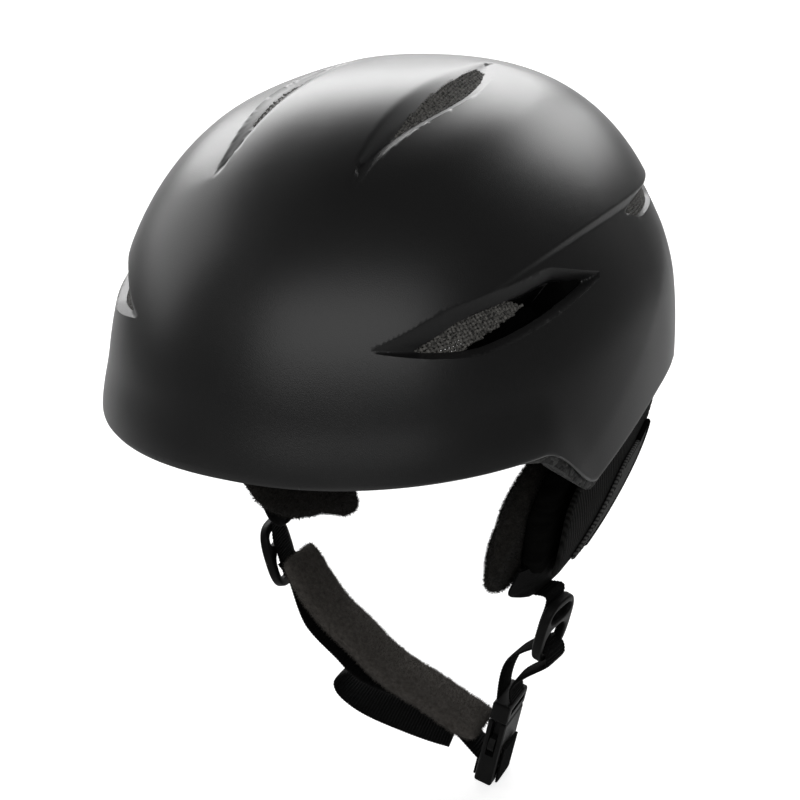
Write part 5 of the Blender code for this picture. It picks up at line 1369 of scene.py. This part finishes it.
def slider_mesh(word, side, centre):
    half_width, half_height = SLIDER_WIDTH / 2, SLIDER_HEIGHT / 2
    loops = [rounded_loop(half_width, half_height, 0.0, RING_POINTS, SLIDER_POWER)]
    inner_width = half_width - SLIDER_BAND
    for low, high in ((SLIDER_BAR_Z + SLIDER_BAR / 2, half_height - SLIDER_BAND),
                      (SLIDER_BAND - half_height, SLIDER_BAR_Z - SLIDER_BAR / 2)):
        loops.append(rounded_loop(inner_width, (high - low) / 2, (high + low) / 2, HOLE_POINTS, SLIDER_POWER))
    place = Matrix.Translation((centre[0], STRAP_Y, centre[1])) @ Matrix.Rotation(side * SLIDER_LEAN, 4, "Y")
    return plate_mesh("slider_" + word, loops, SLIDER_THICKNESS, SLIDER_BEVEL, place)


for word, side, centre in SLIDERS:
    mesh = slider_mesh(word, side, centre)
    set_spots(mesh, turned_at_slider(mesh_spots(mesh), centre))
    add_piece(mesh.name, mesh, moulded_plastic, "chin_strap", "plastic_black", "strap_slider_" + word)

# Chin strap
# Ribbed black webbing runs from the right slider to the buckle. Its spare end is folded back in a loop below,
# and a fleece sleeve, softly filled, lies on it against the chin.

CHIN_LINE = (
    (-0.0575, -0.0845), (-0.050, -0.097), (-0.040, -0.109), (-0.028, -0.1185), (-0.0175, -0.1275),
    (-0.005, -0.1345), (0.0115, -0.1405), (0.0285, -0.148), (0.0405, -0.1515))
TAIL_LINE = (
    (-0.0310, -0.1372), (-0.0370, -0.1420), (-0.0383, -0.1465), (-0.0345, -0.1508), (-0.0220, -0.1555),
    (-0.0020, -0.1587), (0.0130, -0.1602), (0.0240, -0.1604))
TAIL_TILT, TAIL_TWIST, TAIL_LEAVES = math.radians(28), (0.38, 0.72), 17
WEB_SHIFT, WEB_SHIFT_START, WEB_SHIFT_END = 0.0090, (-0.066, -0.046), (-0.026, 0.004)
CHIN_PAD_WIDTH, CHIN_PAD_THICKNESS, CHIN_PAD_TOP = 0.028, 0.009, (-0.0602, -0.0795)
CHIN_PAD_SECTION, CHIN_PAD_END, CHIN_PAD_RUN = 30, 0.30, 0.010
CHIN_PAD_POWERS, CHIN_PAD_SPREAD, CHIN_PAD_FLAT, CHIN_PAD_STEPS = (0.6, 0.8), (0.97, 0.12), 0.9, 9
CHIN_VOXEL, CHIN_SWELL, CHIN_PILE = 0.0035, 0.0025, (2.6e6, 0.0016)
BUCKLE_TOP, BUCKLE_LEAN = (0.053, -0.130), math.radians(12.3)
BUCKLE_THICKNESS, TONGUE_BASE, SOCKET_LENGTH = 0.0090, 0.0100, 0.0370
SOCKET_WEB, SOCKET_WEB_GAP, FOLD_SHARES = 0.55, 0.007, (0.42, 0.6, 0.8, 0.98)
CHIN_STEPS, TAIL_STEPS = 4, 6


def direction(path):
    return unit_rows(np.gradient(path, axis=0))


def strap_line(path, tilts=None):
    """Places and width directions of webbing along (x, z) points; tilts turn the width about the line."""
    path = np.array(path)
    tilts = np.zeros(len(path)) if tilts is None else tilts
    run = direction(path)
    normal = columns(-run[:, 1], 0 * run[:, 0], run[:, 0])
    places = columns(path[:, 0], np.full(len(path), STRAP_Y), path[:, 1])
    width = np.array((0.0, 1.0, 0.0)) * np.cos(tilts)[:, None] + normal * np.sin(tilts)[:, None]
    return places, width


def web_mesh(name, path, tilts=None):
    places, width = strap_line(path, tilts)
    return strap_mesh(name, places, width, np.full(len(places), WEB_WIDTH / 2), WEB_THICKNESS / 2, RIB_PITCH)


def offset_path(path, distance):
    """A path shifted in its plane, to the right of its direction."""
    run = direction(path)
    return path + distance * columns(run[:, 1], -run[:, 0])


def buckle_point(across, along):
    """World x and z of a place on the buckle, outwards across its face and up from its top edge."""
    return leaning_point(BUCKLE_TOP, BUCKLE_LEAN, across, along)


def chin_pad_mesh():
    path = smooth_path((CHIN_PAD_TOP, *CHIN_LINE), CHIN_PAD_STEPS)
    arc = arc_along(path)
    ends = np.minimum(arc, arc[-1] - arc)
    full = 1 - CHIN_PAD_END + CHIN_PAD_END * ease(0.0, CHIN_PAD_RUN, ends)
    run = direction(path)
    angles = 2 * math.pi * np.arange(CHIN_PAD_SECTION) / CHIN_PAD_SECTION
    wide = signed_power(np.cos(angles), CHIN_PAD_POWERS[0])
    thick = signed_power(np.sin(angles), CHIN_PAD_POWERS[1])
    rings = []
    for k, (x, z) in enumerate(path):
        across = CHIN_PAD_WIDTH / 2 * wide * (CHIN_PAD_SPREAD[0] + CHIN_PAD_SPREAD[1] * full[k])
        deep = CHIN_PAD_THICKNESS / 2 * thick * full[k] * CHIN_PAD_FLAT
        rings.append(columns(x - run[k, 1] * deep, STRAP_Y + across, z + run[k, 0] * deep))

    def keep_clear(p):
        away = np.abs(p[:, None, 0] - path[None, :, 0]) + np.abs(p[:, None, 2] - path[None, :, 1])
        spot = np.argmin(away, axis=1)
        deep = (p[:, 2] - path[spot, 1]) * run[spot, 0] - (p[:, 0] - path[spot, 0]) * run[spot, 1]
        back = np.maximum(-CHIN_PAD_THICKNESS / 2 - deep, 0.0)
        p[:, 0] -= run[spot, 1] * back
        p[:, 2] += run[spot, 0] * back
        return p
    return plump("chin_sleeve", loft_mesh("chin_sleeve_start", rings), CHIN_VOXEL, CHIN_SWELL, keep_clear)


chin_path = smooth_path(CHIN_LINE, CHIN_STEPS)
web_path = offset_path(chin_path, beside(CHIN_PAD_THICKNESS))
start = slider_point(SLIDER_RIGHT, -beside(SLIDER_THICKNESS), -SLIDER_BAR_Z)
socket_face = -beside(BUCKLE_THICKNESS)
end_top = buckle_point(socket_face, -TONGUE_BASE - SOCKET_WEB * SOCKET_LENGTH - SOCKET_WEB_GAP)
end_low = buckle_point(socket_face, -TONGUE_BASE - SOCKET_LENGTH)
chin_run = np.array([(-start[0], start[1]), *web_path[2:-4], end_top, end_low])
fold_run = np.array([buckle_point(-socket_face, -TONGUE_BASE - SOCKET_LENGTH * s) for s in FOLD_SHARES])
lift_off = offset_path(web_path, WEB_THICKNESS + FIT_GAP)
tail_run = smooth_path([lift_off[TAIL_LEAVES], *TAIL_LINE], TAIL_STEPS)
tail_tilts = TAIL_TILT * ease(*TAIL_TWIST, np.linspace(0, 1, len(tail_run)))
chin_mesh = web_mesh("chin_webbing", chin_run)
spots = mesh_spots(chin_mesh)
x = spots[:, 0]
spots[:, 1] -= WEB_SHIFT * ease(*WEB_SHIFT_START, x) * (1 - ease(*WEB_SHIFT_END, x))
set_spots(chin_mesh, spots)
for mesh, node in ((chin_mesh, "chin_web"), (web_mesh("web_end_fold", fold_run), "web_fold"),
                   (web_mesh("spare_tail", tail_run, tail_tilts), "tail_loop")):
    add_piece(mesh.name, mesh, webbing, "chin_strap", "webbing_black", node)
chin_fleece = fleece_finish("chin_fleece", (0.046, 0.0415, 0.037), (0.099, 0.091, 0.083))
chin_sleeve = chin_pad_mesh()
chin_piece = add_piece("chin_sleeve", chin_sleeve, chin_fleece, "chin_strap", "fleece_grey", "chin_pad")
add_pile("chin_pile", chin_sleeve, "chin_strap", *CHIN_PILE, 31, chin_fleece)

# Lower left web
# A loop of the same webbing hangs from the left slider's lower band and holds the buckle's tongue.

TONGUE_ENTRY, LOOP_CLEAR, LOOP_SEAT, LOOP_ANGLES = 0.0012, 0.0010, 0.6, (-50, -10, 30, 65, 100)
LOOP_RIGHT, LOOP_LEFT = (0.0005, 0.0110), ((0.0110, 0.0270), (0.0045, 0.0205), (0.0014, 0.0125))
BLEND_TOP, BLEND_LOW_RISE = (0.066, -0.102), 0.001


def lower_web_path():
    half = WEB_THICKNESS / 2
    bar_x, bar_z = slider_point(SLIDER_LEFT, 0.0, -SLIDER_HEIGHT / 2 + LOOP_SEAT * SLIDER_BAND)
    reach = math.hypot(SLIDER_THICKNESS, SLIDER_BAND) / 2 + FIT_GAP + half + LOOP_CLEAR
    turn = [(bar_x + reach * math.cos(math.radians(a)), bar_z + reach * math.sin(math.radians(a)))
            for a in LOOP_ANGLES]
    right_foot = buckle_point(BUCKLE_THICKNESS / 2 - half, -TONGUE_ENTRY)
    left_foot = buckle_point(-BUCKLE_THICKNESS / 2 + half, -TONGUE_ENTRY)
    right_mid = (right_foot[0] + LOOP_RIGHT[0], right_foot[1] + LOOP_RIGHT[1])
    left_mid = [(left_foot[0] + aside, left_foot[1] + up) for aside, up in LOOP_LEFT]
    return smooth_path([right_foot, right_mid, *turn, *left_mid, left_foot], WEB_STEPS)


lower_mesh = web_mesh("lower_webbing", lower_web_path())
set_spots(lower_mesh, turned_at_slider(mesh_spots(lower_mesh), SLIDER_LEFT))
top = Vector((BLEND_TOP[0], STRAP_Y, BLEND_TOP[1]))
low = Vector((BUCKLE_TOP[0], STRAP_Y, BUCKLE_TOP[1] + BLEND_LOW_RISE))
add_crossing("lower_webbing", lower_mesh, (webbing,), "webbing_black", ("chin_strap", "tongue"), top, low,
             "lower_web_left")

# Buckle
# A side-release buckle of black moulded plastic: a socket on the chin webbing, and a tongue with two springy
# prongs on the left web, whose pads stand out at the socket's sides.

for node in ("buckle_socket", "buckle_tongue", "buckle_prong_front", "buckle_prong_rear"):
    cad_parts[node].material_slots[0].material = moulded_plastic

# Size adjuster
# Behind the head hangs a plastic housing with a knob that turns a pinion. The pinion draws two toothed bands
# together, two straps hold the housing to the liner, and a small fleece pad lies in front of it.

NAPE_HALF, NAPE_FACE, NAPE_Z_MIDDLE, NAPE_THICKNESS = (0.021, 0.011), 0.0907, -0.016, 0.006
NAPE_STEPS = (
    (0.2, 0.0), (0.6, 0.0), (0.92, 0.0), (0.99, 0.12), (1.0, 0.35), (0.95, 0.62), (0.82, 0.84), (0.55, 0.97),
    (0.2, 1.0))
NAPE_PILE = (1.4e6, 0.0013)
for node in ("dial_housing", "dial_knob", "dial_pinion", "fit_band_left", "fit_band_right",
             "cradle_hanger_left", "cradle_hanger_right"):
    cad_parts[node].material_slots[0].material = moulded_plastic
rings = []
for share, depth in NAPE_STEPS:
    loop = rounded_loop(NAPE_HALF[0] * share, NAPE_HALF[1] * share, NAPE_Z_MIDDLE, HOLE_POINTS, SLIDER_POWER)
    face = np.full(len(loop), NAPE_FACE - depth * NAPE_THICKNESS)
    rings.append(columns(loop[:, 0], face, loop[:, 1]))
nape_cushion = loft_mesh("nape_cushion", rings)
add_piece("nape_cushion", nape_cushion, fleece, "helmet", "fleece_grey", "nape_pad")
add_pile("nape_pile", nape_cushion, "helmet", *NAPE_PILE, 41, fleece)
